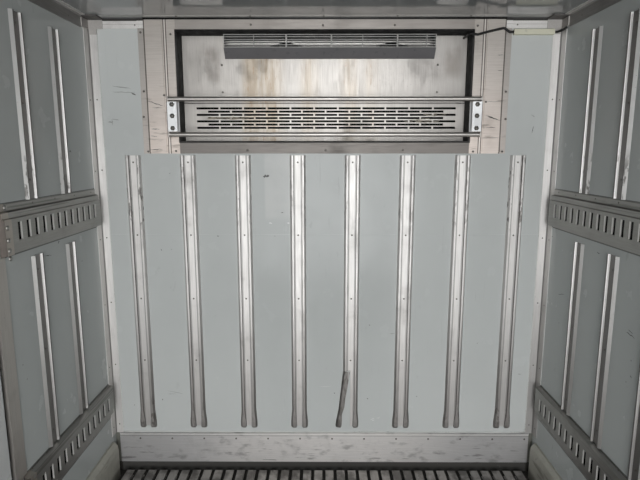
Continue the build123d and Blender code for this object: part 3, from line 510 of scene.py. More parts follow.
def front_wall_tone(look, tone):
    """A painted reflection of the doorway as a lighter patch, a faint joint line, and painted light in the
    panel's drift in brightness over its width and height.
    """
    # Painted reflection: a lighter patch where the glossy panel mirrors the doorway, broken up by noise
    patchy = look.remap(look.noise(16.0, 4.0), 0.3, 0.6, 0.6, 1.0)
    patch = look.times(look.band("X", -0.262, -0.152, 0.006), look.level(1.2, 1.49, 0.02))
    tone = look.mix(tone, (0.66, 0.66, 0.645), look.times(patch, patchy, 0.4))
    joint = look.times(look.level(1.1255, 1.1275, 0.0006), look.remap(look.noise(4.0, 3.0), 0.4, 0.6))
    tone = look.mix(tone, (0.75, 0.77, 0.76), look.times(joint, 0.35))
    # Painted light: lighter towards the sides, the bottom and the top
    across = look.across()
    low, high = look.heights(0.17, 0.9, 0.25, 0.0), look.heights(1.4, 1.95, 0.0, 0.3)
    for light in (look.remap(across, 0.12, 0.5, 0.0, 0.2), low, high):
        tone = look.mix(tone, (0.78, 0.8, 0.79), light)
    beside = look.times(look.remap(across, 0.972, 0.974), look.heights(0.168, 0.17, 1.0, 0.0))
    tone = look.mix(tone, (0.17, 0.17, 0.15), beside)
    top = look.heights(2.037, 2.039)
    tone = look.mix(tone, (0.10, 0.10, 0.10), top)
    middle = look.band("X", -TOP_JOINT, TOP_JOINT, 0.001)
    return look.mix(tone, (0.01, 0.01, 0.01), look.times(middle, top))


def floor_grime(look, tone):
    """Floor rails: uneven grime."""
    return look.mix(tone, (0.09, 0.085, 0.08), look.remap(look.noise(11.0, 6.0), 0.4, 0.62, 0.1, 0.75))


def bar_side_shade(look, tone):
    """Painted shade: every face of the outlet's bars but the front ones is near black."""
    return look.mix(tone, (0.006, 0.006, 0.006), look.remap(look.normal("Y"), -0.9, -0.6))


def gasket_upright_tone(look, tone):
    """The upright runs of the gasket round the unit, a little lighter than its top run."""
    return look.mix(tone, (0.04, 0.039, 0.038), look.heights(1.95, 1.975, 1.0, 0.0))


def cove_scuffs(look, tone):
    """Coves: paler on their rounded top edge, with long scuffs and a darker foot."""
    tone = look.mix(tone, (0.50, 0.49, 0.43), look.heights(0.09, 0.16, 0.0, 0.5))
    scuffs = look.remap(look.noise(38.0, 4.0, (1, 0.12, 1)), 0.58, 0.68)
    tone = look.mix(tone, (0.10, 0.095, 0.075), look.times(scuffs, 0.5))
    return look.mix(tone, (0.07, 0.065, 0.055), look.heights(0.002, 0.03, 0.7, 0.0))


def moulded(name, colour, roughness, stain=0.8, bump=0.0002, marks_and_shading=None):
    """Plastic or rubber with a fine grain and uneven dirt."""
    look = Look(name, colour, roughness)
    clouds = look.noise(6.0, 6.0)
    tone = look.mix(colour, scaled(colour, stain), look.remap(clouds, 0.4, 0.7))
    marks = look.remap(look.noise(45.0, 4.0), 0.6, 0.7)
    tone = look.mix(tone, scaled(colour, stain * 0.7), look.times(marks, 0.5))
    if marks_and_shading is not None:
        tone = marks_and_shading(look, tone)
    look.set("Base Color", tone)
    rough = look.remap(look.noise(30.0, 4.0), 0.3, 0.7, roughness * 0.85, min(1, roughness * 1.2))
    look.set("Roughness", rough)
    look.bump(look.noise(350.0, 3.0), bump)
    return look.material


WALL = (0.50, 0.525, 0.52)
STAINLESS = (0.62, 0.58, 0.545)
OUTSIDE = (0.62, 0.63, 0.63)
ALL_WAYS = (1, 1, 1)
ALONG_X, ALONG_Y, ALONG_Z = (0.03, 1, 1), (1, 0.03, 1), (1, 1, 0.03)

LOOKS = {
    "wall": painted_panel("front_panel_skin", WALL, 0.2, 0.2, OUTSIDE, front_wall_tone),
    # Painted shade: the side walls take the front wall's paint at 0.93 of its brightness
    "side_wall": painted_panel("side_panel_skin", scaled(WALL, 0.93), 0.2, 0.2, OUTSIDE, rail_shade),
    "ceiling": painted_panel("ceiling_panel_skin", (0.27, 0.285, 0.285), 0.09, 0.5, OUTSIDE, ceiling_tone),
    "door": painted_panel("door_skin", OUTSIDE, 0.3, shaded_foot=False),
    "board": painted_panel("floor_board_skin", (0.10, 0.098, 0.09), 0.6),
    "floor_rail": bare_metal("floor_rail_metal", (0.42, 0.405, 0.385), 0.5, ALONG_Y, 0.5, marks_and_shading=floor_grime),
    "lashing": bare_metal("lashing_rail_metal", (0.35, 0.345, 0.327), 0.42, ALONG_Y, 0.35, marks_and_shading=rail_dirt_and_shade),
    "edge": bare_metal("edge_rail_metal", (0.72, 0.72, 0.71), 0.42, ALONG_Y, 0.15),
    "trim": bare_metal("trim_metal", (0.92, 0.905, 0.89), 0.6, ALONG_Z, 0.2, marks_and_shading=trim_rubs_and_shade),
    "ceiling_trim": bare_metal(
        "ceiling_trim_metal", (0.88, 0.865, 0.85), 0.6, ALONG_Y, 0.25, marks_and_shading=ceiling_trim_tone
    ),
    "door_frame": bare_metal("door_frame_metal", (0.56, 0.53, 0.50), 0.5, ALONG_Z, 0.4),
    "front_rib": bare_metal(
        "front_rib_metal", (0.84, 0.825, 0.81), 0.6, ALONG_Z, 0.25, marks_and_shading=rib_wear_and_shade("X", FRONT_RIBS[0])
    ),
    "side_rib": bare_metal(
        "side_rib_metal", (0.74, 0.73, 0.72), 0.4, ALONG_Z, 0.2, marks_and_shading=rib_wear_and_shade("Y", back(RIBS_START))
    ),
    "cap": bare_metal("cap_metal", (0.62, 0.60, 0.58), 0.6, ALL_WAYS, 0.5, marks_and_shading=cap_tone),
    "stainless": bare_metal("stainless_sheet", STAINLESS, 0.56, ALONG_X, 0.25, marks_and_shading=surround_tone),
    "cover": bare_metal("cover_sheet", (0.47, 0.451, 0.428), 0.46, ALONG_Z, 0.03, marks_and_shading=cover_streaks),
    "frame": bare_metal("rear_frame_sheet", (0.68, 0.67, 0.65), 0.36, ALONG_Z, 0.15),
    "hardware": bare_metal("door_hardware_metal", (0.66, 0.655, 0.64), 0.34, ALONG_Z, 0.2),
    "kick": bare_metal("kick_plate_sheet", (0.78, 0.76, 0.745), 0.58, ALONG_X, 0.3, marks_and_shading=kick_smudges_and_light),
    "guard": bare_metal("guard_steel", (0.56, 0.535, 0.51), 0.45, ALONG_X, 0.3, marks_and_shading=guard_tone),
    # Painted shade: the tub is near black, so the space behind the outlet's bars reads as shade
    "tub": bare_metal("tub_sheet", (0.02, 0.02, 0.02), 0.6, ALONG_X, 0.2, (0.01, 0.01, 0.01)),
    "zinc": bare_metal("zinc_fastener", (0.20, 0.19, 0.175), 0.5, ALL_WAYS, 0.5),
    "bolt": bare_metal("bolt_head_metal", (0.44, 0.43, 0.41), 0.5, ALL_WAYS, 0.4),
    "ring": bare_metal("fan_ring_sheet", (0.74, 0.72, 0.69), 0.42, ALONG_X, 0.2, marks_and_shading=ring_shade),
    "chassis": moulded("chassis_paint", (0.02, 0.02, 0.022), 0.5),
    "rubber": moulded("black_rubber", (0.006, 0.006, 0.006), 0.8),
    "gasket": moulded("gasket_rubber", (0.006, 0.006, 0.006), 0.8, marks_and_shading=gasket_upright_tone),
    "cove": moulded("cove_plastic", (0.37, 0.36, 0.315), 0.5, 0.7, marks_and_shading=cove_scuffs),
    "sensor": moulded("sensor_plastic", (0.72, 0.71, 0.57), 0.45, 0.92),
    "cable": moulded("cable_sheath", (0.01, 0.01, 0.01), 0.55),
    "lamp": moulded("lamp_lens", (0.75, 0.22, 0.02), 0.2),
    "coil": moulded("coil_fins", (0.05, 0.05, 0.05), 0.6),
    "deflector": moulded("deflector_paint", (0.155, 0.152, 0.158), 0.4, 0.92),
    "outlet": moulded("outlet_paint", (0.46, 0.455, 0.44), 0.35, marks_and_shading=bar_side_shade),
    "housing": moulded("housing_cover", (0.56, 0.57, 0.57), 0.3, 0.93),
    "black": moulded("black_moulding", (0.02, 0.02, 0.02), 0.5),
    "seal": moulded("white_sealant", (0.70, 0.71, 0.69), 0.5, 0.85),
    "dark_mark": moulded("rubbed_mark_dark", (0.13, 0.13, 0.125), 0.6),
    "faint_mark": moulded("rubbed_mark_faint", (0.33, 0.345, 0.34), 0.5),
    "pale_mark": moulded("rubbed_mark_pale", (0.78, 0.79, 0.78), 0.5),
    "strand": moulded("caught_strand", (0.55, 0.50, 0.41), 0.8),
}

NODE_LOOKS = {
    "wall": "front_wall",
    "side_wall": "left_wall right_wall",
    "ceiling": "roof_panel",
    "door": "rear_door_left rear_door_right side_door",
    "board": "floor_panel",
    "floor_rail": "floor_rails",
    "lashing": "upper_lashing_rails lower_lashing_rails",
    "edge": "edge_rails rain_gutter",
    "trim": "corner_trims",
    "ceiling_trim": "ceiling_trims",
    "door_frame": "side_door_frame",
    "front_rib": "front_wall_ribs",
    "side_rib": "side_wall_ribs",
    "cap": "corner_caps",
    "stainless": "recess_frame",
    "cover": "evaporator_face",
    "frame": "rear_frame",
    "hardware": """rear_door_left_fittings rear_door_right_fittings side_door_fittings hinge_brackets
        lock_keepers""",
    "kick": "kick_plate",
    "guard": "evaporator_guard",
    "tub": "evaporator_tub",
    "ring": "evaporator_fan_plate",
    "chassis": "long_sills cross_members mounting_brackets unit_frame",
    "gasket": "recess_sleeve",
    "rubber": "rear_door_left_seal rear_door_right_seal side_door_seal door_buffers",
    "cove": "floor_coves",
    "sensor": "sensor_tube",
    "cable": "sensor_cable",
    "lamp": "marker_lamps",
    "coil": "evaporator_coil condenser_coil",
    "deflector": "outlet_deflector",
    "outlet": "outlet_grille",
    "housing": "condenser_housing",
    "black": """condenser_grille condenser_shroud evaporator_fan_left evaporator_fan_right
        condenser_fan_left condenser_fan_right""",
}


def dress_nodes():
    for look, names in NODE_LOOKS.items():
        for name in names.split():
            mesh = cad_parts[name].data
            mesh.materials.clear()
            mesh.materials.append(LOOKS[look])


# Pieces


def placed(name, data):
    """A new object in the scene."""
    made = bpy.data.objects.new(name, data)
    bpy.context.scene.collection.objects.link(made)
    return made


def add_piece(name, verts, faces, look, slot, body=BODY, smooth=False):
    mesh = bpy.data.meshes.new(name)
    mesh.from_pydata([tuple(v) for v in verts], [], faces)
    mesh.update()
    if smooth:
        mesh.shade_smooth()
    mesh.materials.append(LOOKS[look])
    piece = placed(name, mesh)
    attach(piece, body)


def join(forms):
    """One form out of many."""
    verts, faces = [], []
    for form in forms:
        start = len(verts)
        verts += form[0]
        faces += [tuple(start + i for i in face) for face in form[1]]
    return verts, faces


def turned_form(profile, sides):
    """A form turned about +Z from (radius, height) points, its last point on the axis."""
    verts, faces = [], []
    for radius, height in profile[:-1]:
        for step in range(sides):
            angle = math.tau * step / sides
            verts.append(Vector((radius * math.cos(angle), radius * math.sin(angle), height)))
    verts.append(Vector((0, 0, profile[-1][1])))
    for ring in range(len(profile) - 2):
        for step in range(sides):
            a, b = ring * sides + step, ring * sides + (step + 1) % sides
            faces.append((a, b, b + sides, a + sides))
    last = (len(profile) - 2) * sides
    for step in range(sides):
        faces.append((last + step, last + (step + 1) % sides, len(verts) - 1))
    return verts, faces


def screw_form(radius, height):
    rim = [(radius, 0), (radius, height * 0.35), (radius * 0.82, height * 0.8), (radius * 0.45, height)]
    return turned_form(rim + [(radius * 0.38, height * 0.45), (0, height * 0.4)], 12)


def rivet_form(radius, height):
    dome = [(radius, 0), (radius * 0.9, height * 0.5), (radius * 0.5, height * 0.9), (0, height)]
    return turned_form(dome, 10)


def bolt_form(radius, height):
    rim = [(radius * 1.5, 0), (radius * 1.5, height * 0.18), (radius, height * 0.2)]
    return turned_form(rim + [(radius, height * 0.85), (radius * 0.85, height), (0, height)], 6)


def stamp(name, form, places, look="zinc", slot="guard_steel", body=BODY):
    """One piece made of a form repeated at (point, axis) places."""
    forms = []
    for point, axis in places:
        turn = Vector(axis).to_track_quat("Z", "Y").to_matrix().to_4x4()
        place = Matrix.Translation(point) @ turn
        forms.append(([place @ v for v in form[0]], form[1]))
    add_piece(name, *join(forms), look, slot, body, smooth=True)


def spread(start, end, pitch):
    """Even places from start to end, about a pitch apart."""
    count = max(1, round(abs(end - start) / pitch))
    return [start + (end - start) * step / count for step in range(count + 1)]


TO_CAMERA, TO_CAB = (0, -1, 0), (0, 1, 0)
# The side doorway, as distances back from the front wall
DOORWAY = (0.72, 1.59)
# How far the ribs' webs and the trims' sheets stand off the walls, and the edge rails off the skins
RIB_WEB, SHEET, EDGE = 0.0015, 0.003, 0.004
# The two upright seams of the unit's cover
COVER_SEAMS = (-0.45, 0.497)

# Screws of the recess frame: the photograph's pixels, by how far they stand off the wall
FRAME_SCREWS = {
    0.004: [(247.6, 150.3), (325.5, 150.3), (402.7, 150.3), (250.9, 24.8), (323, 25.5), (394.7, 25.4)],
    0.006: [
        (140.8, 32.7), (144.2, 91.5), (144.2, 116.9), (148.7, 151.5), (170.8, 34.5), (176.5, 151),
        (164.5, 95.4), (505.3, 91.8), (505.1, 119.2), (501.6, 151.5), (472.6, 151.5), (477.4, 26),
        (485.5, 102),
    ],
}


def seen(px, py, side=0):
    """What the camera sees at a pixel of the 640 x 480 photograph: a place on the front or a side wall."""
    turn = Euler(CAMERA_TURN).to_matrix()
    ray = turn @ Vector(((px - 320) / FOCAL, (240 - py) / FOCAL, -1))
    if side:
        return EYE + ray * ((side * HALF - EYE.x) / ray.x)
    return EYE + ray * ((FRONT - EYE.y) / ray.y)


def on_front(x, height, proud):
    """A place off the front wall, and the way it faces."""
    return Vector((x, FRONT - proud, up(height))), TO_CAMERA


def on_side(side, distance, height, proud):
    """A place off a side wall, and the way it faces."""
    return Vector((side * (HALF - proud), back(distance), up(height))), (-side, 0, 0)


def side_ribs(side):
    """Distances back from the front wall of the ribs on one side wall."""
    places = [RIBS_START + RIB_PITCH * index for index in range(17)]
    return [d for d in places if side > 0 or not DOORWAY[0] < d < DOORWAY[1]]


def add_fasteners():
    screw = screw_form(0.0038, 0.002)
    front = [on_front(x, h, RIB_WEB) for x in FRONT_RIBS for h in (1.446, 1.124, 0.83, 0.533)]
    stamp("front_rib_screws", screw, front)
    ribs = [(side, distance) for side in (-1, 1) for distance in side_ribs(side)]
    places = [on_side(*rib, h, RIB_WEB) for rib in ribs for h in (1.9, 1.65, 1.4, 1.09, 0.8, 0.49)]
    stamp("side_rib_screws", screw, places)

    trims = []
    for side in (-1, 1):
        for h in spread(0.212, 1.712, 0.3):
            trims.append(on_front(side * (HALF - 0.021), h, SHEET))
            trims.append(on_side(side, 0.03, h - 0.004, SHEET))
        for d in spread(0.171, 4.3, 0.22):
            trims.append(on_side(side, d, 2.012, SHEET))
    for x in (-0.944, -0.795, 0.806, 0.947):
        trims.append(on_front(x, 2.015, SHEET))
    stamp("trim_rivets", rivet_form(0.0032, 0.0016), trims)

    kick = [on_front(x, 0.138, SHEET) for x in spread(-0.879, 0.957, 0.153)]
    stamp("kick_plate_screws", screw_form(0.0044, 0.0025), kick)

    screw = screw_form(0.0046, 0.0025)
    places = []
    for proud, pixels in FRAME_SCREWS.items():
        for pixel in pixels:
            place = seen(*pixel)
            places.append((Vector((place.x, FRONT - proud, place.z)), TO_CAMERA))
    stamp("recess_frame_screws", screw, places)
    strip = [(Vector((x, back(0.034), CEILING)), (0, 0, -1)) for x in (-0.612, -0.306, -0.003, 0.3, 0.603)]
    stamp("ceiling_strip_screws", screw, strip)

    face_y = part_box("evaporator_face")[0].y
    cover = [(Vector((x, face_y, up(h))), TO_CAMERA) for x in COVER_SEAMS for h in (1.867, 1.751)]
    stamp("evaporator_face_screws", screw, cover)

    guard = [on_front(side * 0.642, h, 0.05) for side in (-1, 1) for h in (1.688, 1.641, 1.59)]
    stamp("guard_bolts", bolt_form(0.007, 0.006), guard)

    rails = []
    for side in (-1, 1):
        for d in spread(0.09, 4.3, 0.15):
            if side < 0 and DOORWAY[0] - 0.02 < d < DOORWAY[1] + 0.02:
                continue
            for top, sign in ((1.333, -1), (0.271, 1)):
                for h in (0.011, 0.1605):
                    rails.append(on_side(side, d, top + sign * h, SHEET))
    stamp("lashing_rail_rivets", rivet_form(0.0034, 0.0016), rails)

    ends = []
    # Bolts of the end plates: (inward from the plate's end, height, how far off the wall)
    bolts = ((0.013, 1.262, 0.025), (0.013, 1.223, 0.025), (0.013, 1.19, 0.025), (0.044, 1.321, SHEET))
    bolts += ((0.013, 0.345, 0.025), (0.025, 0.42, 0.022))
    for end, inward in ((0.742, -1), (1.568, 1)):
        for d, h, proud in bolts:
            ends.append(on_side(-1, end + inward * d, h, proud))
    ends.append(on_side(-1, 0.69, 1.158, 0))
    stamp("rail_end_bolts", rivet_form(0.0085, 0.005), ends, "bolt")


def folded(point, side):
    """A place on the right rear door drawn shut, carried to its side with the door folded back."""
    point = PIN + Matrix.Rotation(math.radians(270), 3, "Z") @ (point - PIN)
    return Vector((side * point.x, point.y, point.z))


def add_outer_fasteners():
    rivets = []
    start = WALL_END + 0.06
    for side in (-1, 1):
        edge, out = side * (SIDE + EDGE), (side, 0, 0)
        rivets += [(Vector((edge, y, ROOF_TOP - 0.035)), out) for y in spread(start, FRONT_SKIN - 0.05, 0.12)]
        for y in spread(start, FRONT_SKIN - 0.12, 0.12):
            rivets.append((Vector((edge, y, PANEL_BOTTOM + 0.06)), out))
        for z in spread(PANEL_BOTTOM + 0.08, ROOF_TOP - 0.12, 0.12):
            rivets.append((Vector((edge, FRONT_SKIN - 0.03, z)), out))
            rivets.append((Vector((side * (SIDE - 0.03), FRONT_SKIN + EDGE, z)), TO_CAB))
        for z in spread(SILL_TOP + 0.05, ROOF_TOP - 0.05, 0.15):
            rivets.append((Vector((side * (SIDE + 0.005), REAR_SKIN + 0.095, z)), out))
    for x in spread(-SIDE + 0.12, SIDE - 0.12, 0.12):
        rivets.append((Vector((x, FRONT_SKIN + EDGE, ROOF_TOP - 0.035)), TO_CAB))
    stamp("outer_rivets", rivet_form(0.0045, 0.0022), rivets, "edge", "trim_aluminium")

    brackets = []
    for side in (-1, 1):
        for h in HINGES:
            for dz in (-0.05, 0.05):
                brackets.append((Vector((side * (PIN.x - 0.042), REAR_SKIN - 0.008, up(h) + dz)), TO_CAMERA))
    for h in SIDE_HINGES:
        for dz in (-0.045, 0.045):
            brackets.append((Vector((-SIDE - 0.006, SIDE_PIN_Y + 0.014, up(h) + dz)), (-1, 0, 0)))
    stamp("hinge_bracket_bolts", bolt_form(0.006, 0.005), brackets, "bolt", "stainless")
    door_bolt = rivet_form(0.0065, 0.0045)
    for name, side in (("left", -1), ("right", 1)):
        bolts = []
        axis = folded(PIN + Vector(TO_CAMERA), side) - folded(PIN, side)
        for h in HINGES:
            for x in (0.77, 0.85, 0.93):
                bolts.append((folded(Vector((x, REAR_SKIN - 0.008, up(h))), side), axis))
        for h in (0.06, 1.16, 1.9):
            for dx in (-0.0265, 0.0265):
                bolts.append((folded(Vector((0.12 + dx, REAR_SKIN - 0.005, up(h))), side), axis))
        door = f"rear_door_{name}"
        stamp(f"{door}_bolts", door_bolt, bolts, "bolt", "stainless", door)
    places = [(h, back(0.756 + d)) for h in SIDE_HINGES for d in (0.05, 0.11, 0.17)]
    bolts = [(Vector((-SIDE - 0.008, y, up(h))), (-1, 0, 0)) for h, y in places]
    stamp("side_door_bolts", door_bolt, bolts, "bolt", "stainless", "side_door")

    housing = []
    low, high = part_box("condenser_housing")
    for side in (-1, 1):
        for z in spread(low.z + 0.06, high.z - 0.06, 0.15):
            housing.append((Vector((side * high.x, low.y + 0.02, z)), (side, 0, 0)))
    for x in spread(-0.62, 0.62, 0.2):
        housing.append((Vector((x, low.y + 0.02, high.z)), (0, 0, 1)))
    stamp("housing_screws", rivet_form(0.006, 0.003), housing, "bolt", "stainless")


# Marks on the front wall: (the photograph's pixels of one end, of the other, widest in mm), by look
WALL_MARKS = {
    "dark_mark": [
        (131.2, 92.6, 136, 95.3, 7), (263, 176.8, 269.2, 175, 14), (217, 236, 218.8, 236, 6),
        (281, 212.5, 283.4, 212.5, 5), (333.8, 393, 335, 393, 6), (367.2, 398.8, 368.2, 398.8, 6),
        (366.8, 398.4, 367.6, 398.4, 5), (477, 343, 477.8, 343, 6), (513.2, 342, 514.2, 342, 7),
        (369, 325, 370, 325, 6), (162.2, 399, 163.1, 400, 6), (533.5, 126.3, 531.7, 133.4, 4),
        (161, 248.8, 161.7, 250.8, 4), (134.2, 404.8, 135.1, 404.8, 5),
    ],
    "faint_mark": [
        (112.1, 86, 131, 88.5, 5), (112, 92, 135, 92.3, 4), (108, 122, 113, 122, 6), (112, 119, 119, 120, 4),
        (112, 119, 112.7, 125.2, 4), (531, 114.8, 534.9, 116.8, 4), (168.2, 390.8, 183.2, 393.8, 3),
        (168.2, 393.8, 176.2, 393.8, 3), (389, 333.5, 395, 333.5, 4), (416, 396.3, 417.2, 396.3, 7),
        (517.7, 374, 521.1, 374.2, 4), (171, 248.8, 171.9, 250, 6), (169.2, 173, 170.2, 173.8, 7),
        (274.2, 236, 275.5, 236, 6),
    ],
    "pale_mark": [
        (319, 386.5, 332, 386.5, 2), (269, 223, 272, 223, 7), (287, 223, 289.9, 223, 7),
        (370.2, 419.8, 374.2, 418, 5), (376, 418, 380, 418, 4), (372, 420.7, 374.2, 419.8, 5),
        (378.2, 418, 380, 417, 4),
    ],
}
# The same on the stainless surround's raised strips
STRIP_MARKS = [
    (148, 101, 163.2, 106, 5), (152, 108, 163, 108, 3), (152, 129, 160.2, 129, 4), (151, 150, 163, 149, 4),
    (497, 55.3, 503.2, 55.3, 3), (497, 70.8, 502, 70.8, 3), (485, 101.8, 501.3, 101.8, 2),
    (484.7, 115, 499.8, 120.8, 4), (485.2, 127.8, 495, 127.3, 3), (486, 137.8, 499.1, 137.8, 2),
    (486.5, 116.9, 496.8, 119.2, 3), (151.3, 135.8, 157.8, 136.7, 3),
]


def sliver(x, z, x2, z2, width, y, seed):
    """A ragged thin mark between two points on an upright face: thick in the middle, sharp at its ends."""
    rng = random.Random(seed)
    start, end = Vector((x, 0, z)), Vector((x2, 0, z2))
    run = end - start
    side = Vector((-run.z, 0, run.x)).normalized()
    steps = 7
    upper, lower = [], []
    for step in range(steps + 1):
        share = step / steps
        spread_here = width / 2 * math.sin(math.pi * (0.06 + 0.88 * share)) * rng.uniform(0.45, 1)
        drift = side * width * 0.3 * rng.uniform(-1, 1)
        centre = start + run * share + drift
        upper.append(centre + side * spread_here)
        lower.append(centre - side * spread_here)
    verts = [Vector((v.x, y, v.z)) for v in upper + lower]
    faces = [(i, i + 1, steps + 2 + i, steps + 1 + i) for i in range(steps)]
    return verts, faces


# Marks on the side walls: (side, the photograph's pixels of one end, of the other, widest in mm)
SIDE_MARKS = [
    (-1, 59.3, 240.9, 57.9, 243.1, 7), (-1, 82.2, 260.2, 81.8, 261.8, 5), (-1, 23.2, 364, 22.7, 365.8, 5),
    (-1, 27.3, 378.1, 26.8, 379.9, 5), (-1, 44, 256, 51.6, 255, 4), (-1, 69.4, 151.1, 71.2, 152.2, 9),
    (1, 550.9, 236.3, 551.3, 238.2, 6), (1, 551.6, 236.1, 553, 236.6, 4), (1, 597, 252, 600, 254, 5),
    (1, 558, 294.4, 564.5, 294.2, 3), (1, 558.8, 322.2, 559.2, 323.6, 5), (1, 626.6, 332.1, 635, 338.6, 6),
    (1, 628, 329.3, 633.1, 334.1, 4), (1, 631, 359.8, 631.6, 361.3, 6), (1, 630.5, 375.3, 631.4, 378.4, 7),
    (1, 625.8, 381.1, 626.3, 382.7, 5),
]


def front_marks(rows, proud, seed):
    forms = []
    for index, (px, py, px2, py2, width) in enumerate(rows):
        start, end = seen(px, py), seen(px2, py2)
        forms.append(sliver(start.x, start.z, end.x, end.z, width / 1000, FRONT - proud, seed + index))
    return join(forms)


def add_marks():
    for look, rows in WALL_MARKS.items():
        add_piece(f"front_wall_{look}s", *front_marks(rows, 0.0004, 0), look, "wall_panel")
    add_piece("surround_scratches", *front_marks(STRIP_MARKS, 0.0064, 50), "dark_mark", "stainless")
    forms = []
    for index, (side, px, py, px2, py2, width) in enumerate(SIDE_MARKS):
        start, end = seen(px, py, side), seen(px2, py2, side)
        run = (FRONT - start.y, start.z, FRONT - end.y, end.z)
        flat, quads = sliver(*run, width / 1000, 0, 90 + index)
        forms.append(([Vector((side * (HALF - 0.0004), back(v.x), v.z)) for v in flat], quads))
    add_piece("side_wall_marks", *join(forms), "dark_mark", "wall_panel")


def tube(points, radius, sides=8):
    """A tube along points, its rings kept square to the path."""
    verts, faces = [], []
    points = [Vector(p) for p in points]
    for index, point in enumerate(points):
        ahead = points[min(index + 1, len(points) - 1)] - points[max(index - 1, 0)]
        turn = ahead.to_track_quat("Z", "Y").to_matrix()
        size = radius[index] if isinstance(radius, list) else radius
        for side in range(sides):
            angle = math.tau * side / sides
            verts.append(point + turn @ Vector((size * math.cos(angle), size * math.sin(angle), 0)))
    for ring in range(len(points) - 1):
        for side in range(sides):
            a, b = ring * sides + side, ring * sides + (side + 1) % sides
            faces.append((a, b, b + sides, a + sides))
    faces.append(tuple(reversed(range(sides))))
    faces.append(tuple(range(len(verts) - sides, len(verts))))
    return verts, faces


def bead(start, end, radius, seed):
    """A run of sealant laid by hand: a tube whose thickness wanders."""
    rng = random.Random(seed)
    start, end = Vector(start), Vector(end)
    count = max(6, int((end - start).length / 0.03))
    points = [start + (end - start) * step / count for step in range(count + 1)]
    sizes = [radius * rng.uniform(0.8, 1.2) for _ in points]
    return tube(points, sizes)


def add_sealant():
    beads = [bead((-HALF + 0.038, FRONT, up(0.1725)), (HALF - 0.038, FRONT, up(0.1725)), 0.0028, 1)]
    for side in (-1, 1):
        x = side * (HALF - 0.0375)
        beads.append(bead((x, FRONT, up(0.17)), (x, FRONT, up(1.995)), 0.0022, 2 + side))
        x, y = side * HALF, back(0.049)
        beads.append(bead((x, y, up(0.435)), (x, y, up(1.168)), 0.002, 5 + side))
    add_piece("panel_sealant", *join(beads), "seal", "wall_panel", smooth=True)


def add_seam_strips():
    """Lips of the cover's middle panel, which close its two upright seams."""
    face_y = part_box("evaporator_face")[0].y
    forms = []
    section = ((-0.0022, 0.0026), (-0.0018, 0.0002), (0.0018, 0.0002), (0.0022, 0.0026))
    for x in COVER_SEAMS:
        verts = [Vector((x + dx, face_y + dy, up(h))) for h in (1.706, 1.9885) for dx, dy in section]
        forms.append((verts, [(i, i + 1, i + 5, i + 4) for i in range(3)] + [(3, 2, 1, 0), (4, 5, 6, 7)]))
    add_piece("cover_seam_lips", *join(forms), "cover", "stainless")


def plate(side, near, far, low, high, proud):
    """A thin plate on the front wall with a chamfered front edge."""
    edge = 0.0008
    rim = [(near, low), (far, low), (far, high), (near, high)]
    face = [(near + edge, low + edge), (far - edge, low + edge), (far - edge, high - edge)]
    face.append((near + edge, high - edge))
    rings = ((rim, 0.0005), (rim, proud - 0.0006), (face, proud))
    verts = [Vector((side * x, FRONT - out, up(z))) for ring, out in rings for x, z in ring]
    pairs = [(start + i, start + (i + 1) % 4) for start in (0, 4) for i in range(4)]
    return verts, [(a, b, b + 4, a + 4) for a, b in pairs] + [(8, 9, 10, 11)]


def add_trim_ends():
    """Legs of the corner caps over the upright trims, and the front trim's ends over the recess frame."""
    for look, slot, *sizes in (
        ("cap", "cap_aluminium", 0.956, 0.9945, 1.977, 1.9995, 0.0045),
        ("ceiling_trim", "trim_aluminium", 0.759, 0.7855, 2.001, 2.039, 0.0078),
    ):
        forms = [plate(side, *sizes) for side in (-1, 1)]
        add_piece(f"{look}_ends", *join(forms), look, slot)


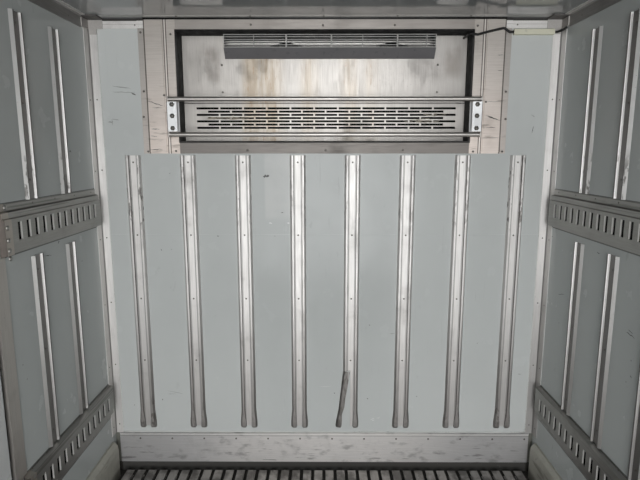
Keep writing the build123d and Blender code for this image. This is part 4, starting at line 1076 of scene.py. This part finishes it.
def add_strands():
    """Wisps of dried grass and dust caught in the intake slots."""
    rng = random.Random(11)
    face_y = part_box("evaporator_face")[0].y
    forms = []
    # Each clump: (x, height, width, strands)
    for x, h, width, count in ((-0.445, 1.640, 0.09, 26), (0.43, 1.627, 0.08, 14), (0.49, 1.655, 0.05, 8)):
        for _ in range(count):
            reach = ((-width, width), (-0.003, 0.004), (-0.005, 0.005))
            points = [Vector((x, face_y, up(h))) + Vector([rng.uniform(*span) for span in reach])]
            for _ in range(5):
                reach = ((0.004, 0.014), (-0.002, 0.002), (-0.003, 0.003))
                points.append(points[-1] + Vector([rng.uniform(*span) for span in reach]))
            forms.append(tube(points, rng.uniform(0.0006, 0.0013), 5))
    add_piece("caught_strands", *join(forms), "strand", "dark_grille", smooth=True)


# Stage, camera and lights


def add_stage():
    size = 30
    mesh = bpy.data.meshes.new("floor")
    corners = [(-size, -size, 0), (size, -size, 0), (size, size, 0), (-size, size, 0)]
    mesh.from_pydata(corners, [], [(0, 1, 2, 3)])
    floor = placed("floor", mesh)
    look = Look("studio_floor", (0.58, 0.58, 0.575), 0.6)
    look.set("Base Color", look.mix((0.58, 0.58, 0.575), (0.54, 0.54, 0.535), look.noise(0.8, 3.0)))
    mesh.materials.append(look.material)


def add_camera():
    data = bpy.data.cameras.new("camera")
    data.sensor_width = SENSOR
    data.lens = LENS
    data.clip_start = 0.01
    camera = placed("camera", data)
    camera.location = EYE
    camera.rotation_euler = CAMERA_TURN
    bpy.context.scene.camera = camera


def add_area(name, place, aim, size, power):
    data = bpy.data.lights.new(name, "AREA")
    data.shape = "RECTANGLE"
    data.size, data.size_y = size
    data.energy = power
    light = placed(name, data)
    light.location = place
    light.rotation_euler = (Vector(aim) - Vector(place)).to_track_quat("-Z", "Y").to_euler()
    light.visible_camera = False


def add_lights():
    world = bpy.data.worlds.new("studio")
    bpy.context.scene.world = world
    world.use_nodes = True
    world.node_tree.nodes["Background"].inputs["Color"].default_value = (0.95, 0.97, 1, 1)
    world.node_tree.nodes["Background"].inputs["Strength"].default_value = 0.62
    middle = up(1.0)
    add_area("doorway_daylight", (0.1, WALL_END + 0.03, middle), (0, FRONT, middle), (1.75, 2.0), 86)
    add_area("studio_key", (-6, -7, 7), (0, 0, 1), (5, 5), 420)
    add_area("studio_fill", (7, 4, 6), (0, 0, 1), (5, 5), 240)


dress_nodes()
add_fasteners()
add_outer_fasteners()
add_marks()
add_sealant()
add_seam_strips()
add_trim_ends()
add_strands()
add_stage()
add_camera()
add_lights()
bpy.context.scene.view_settings.view_transform = "Standard"
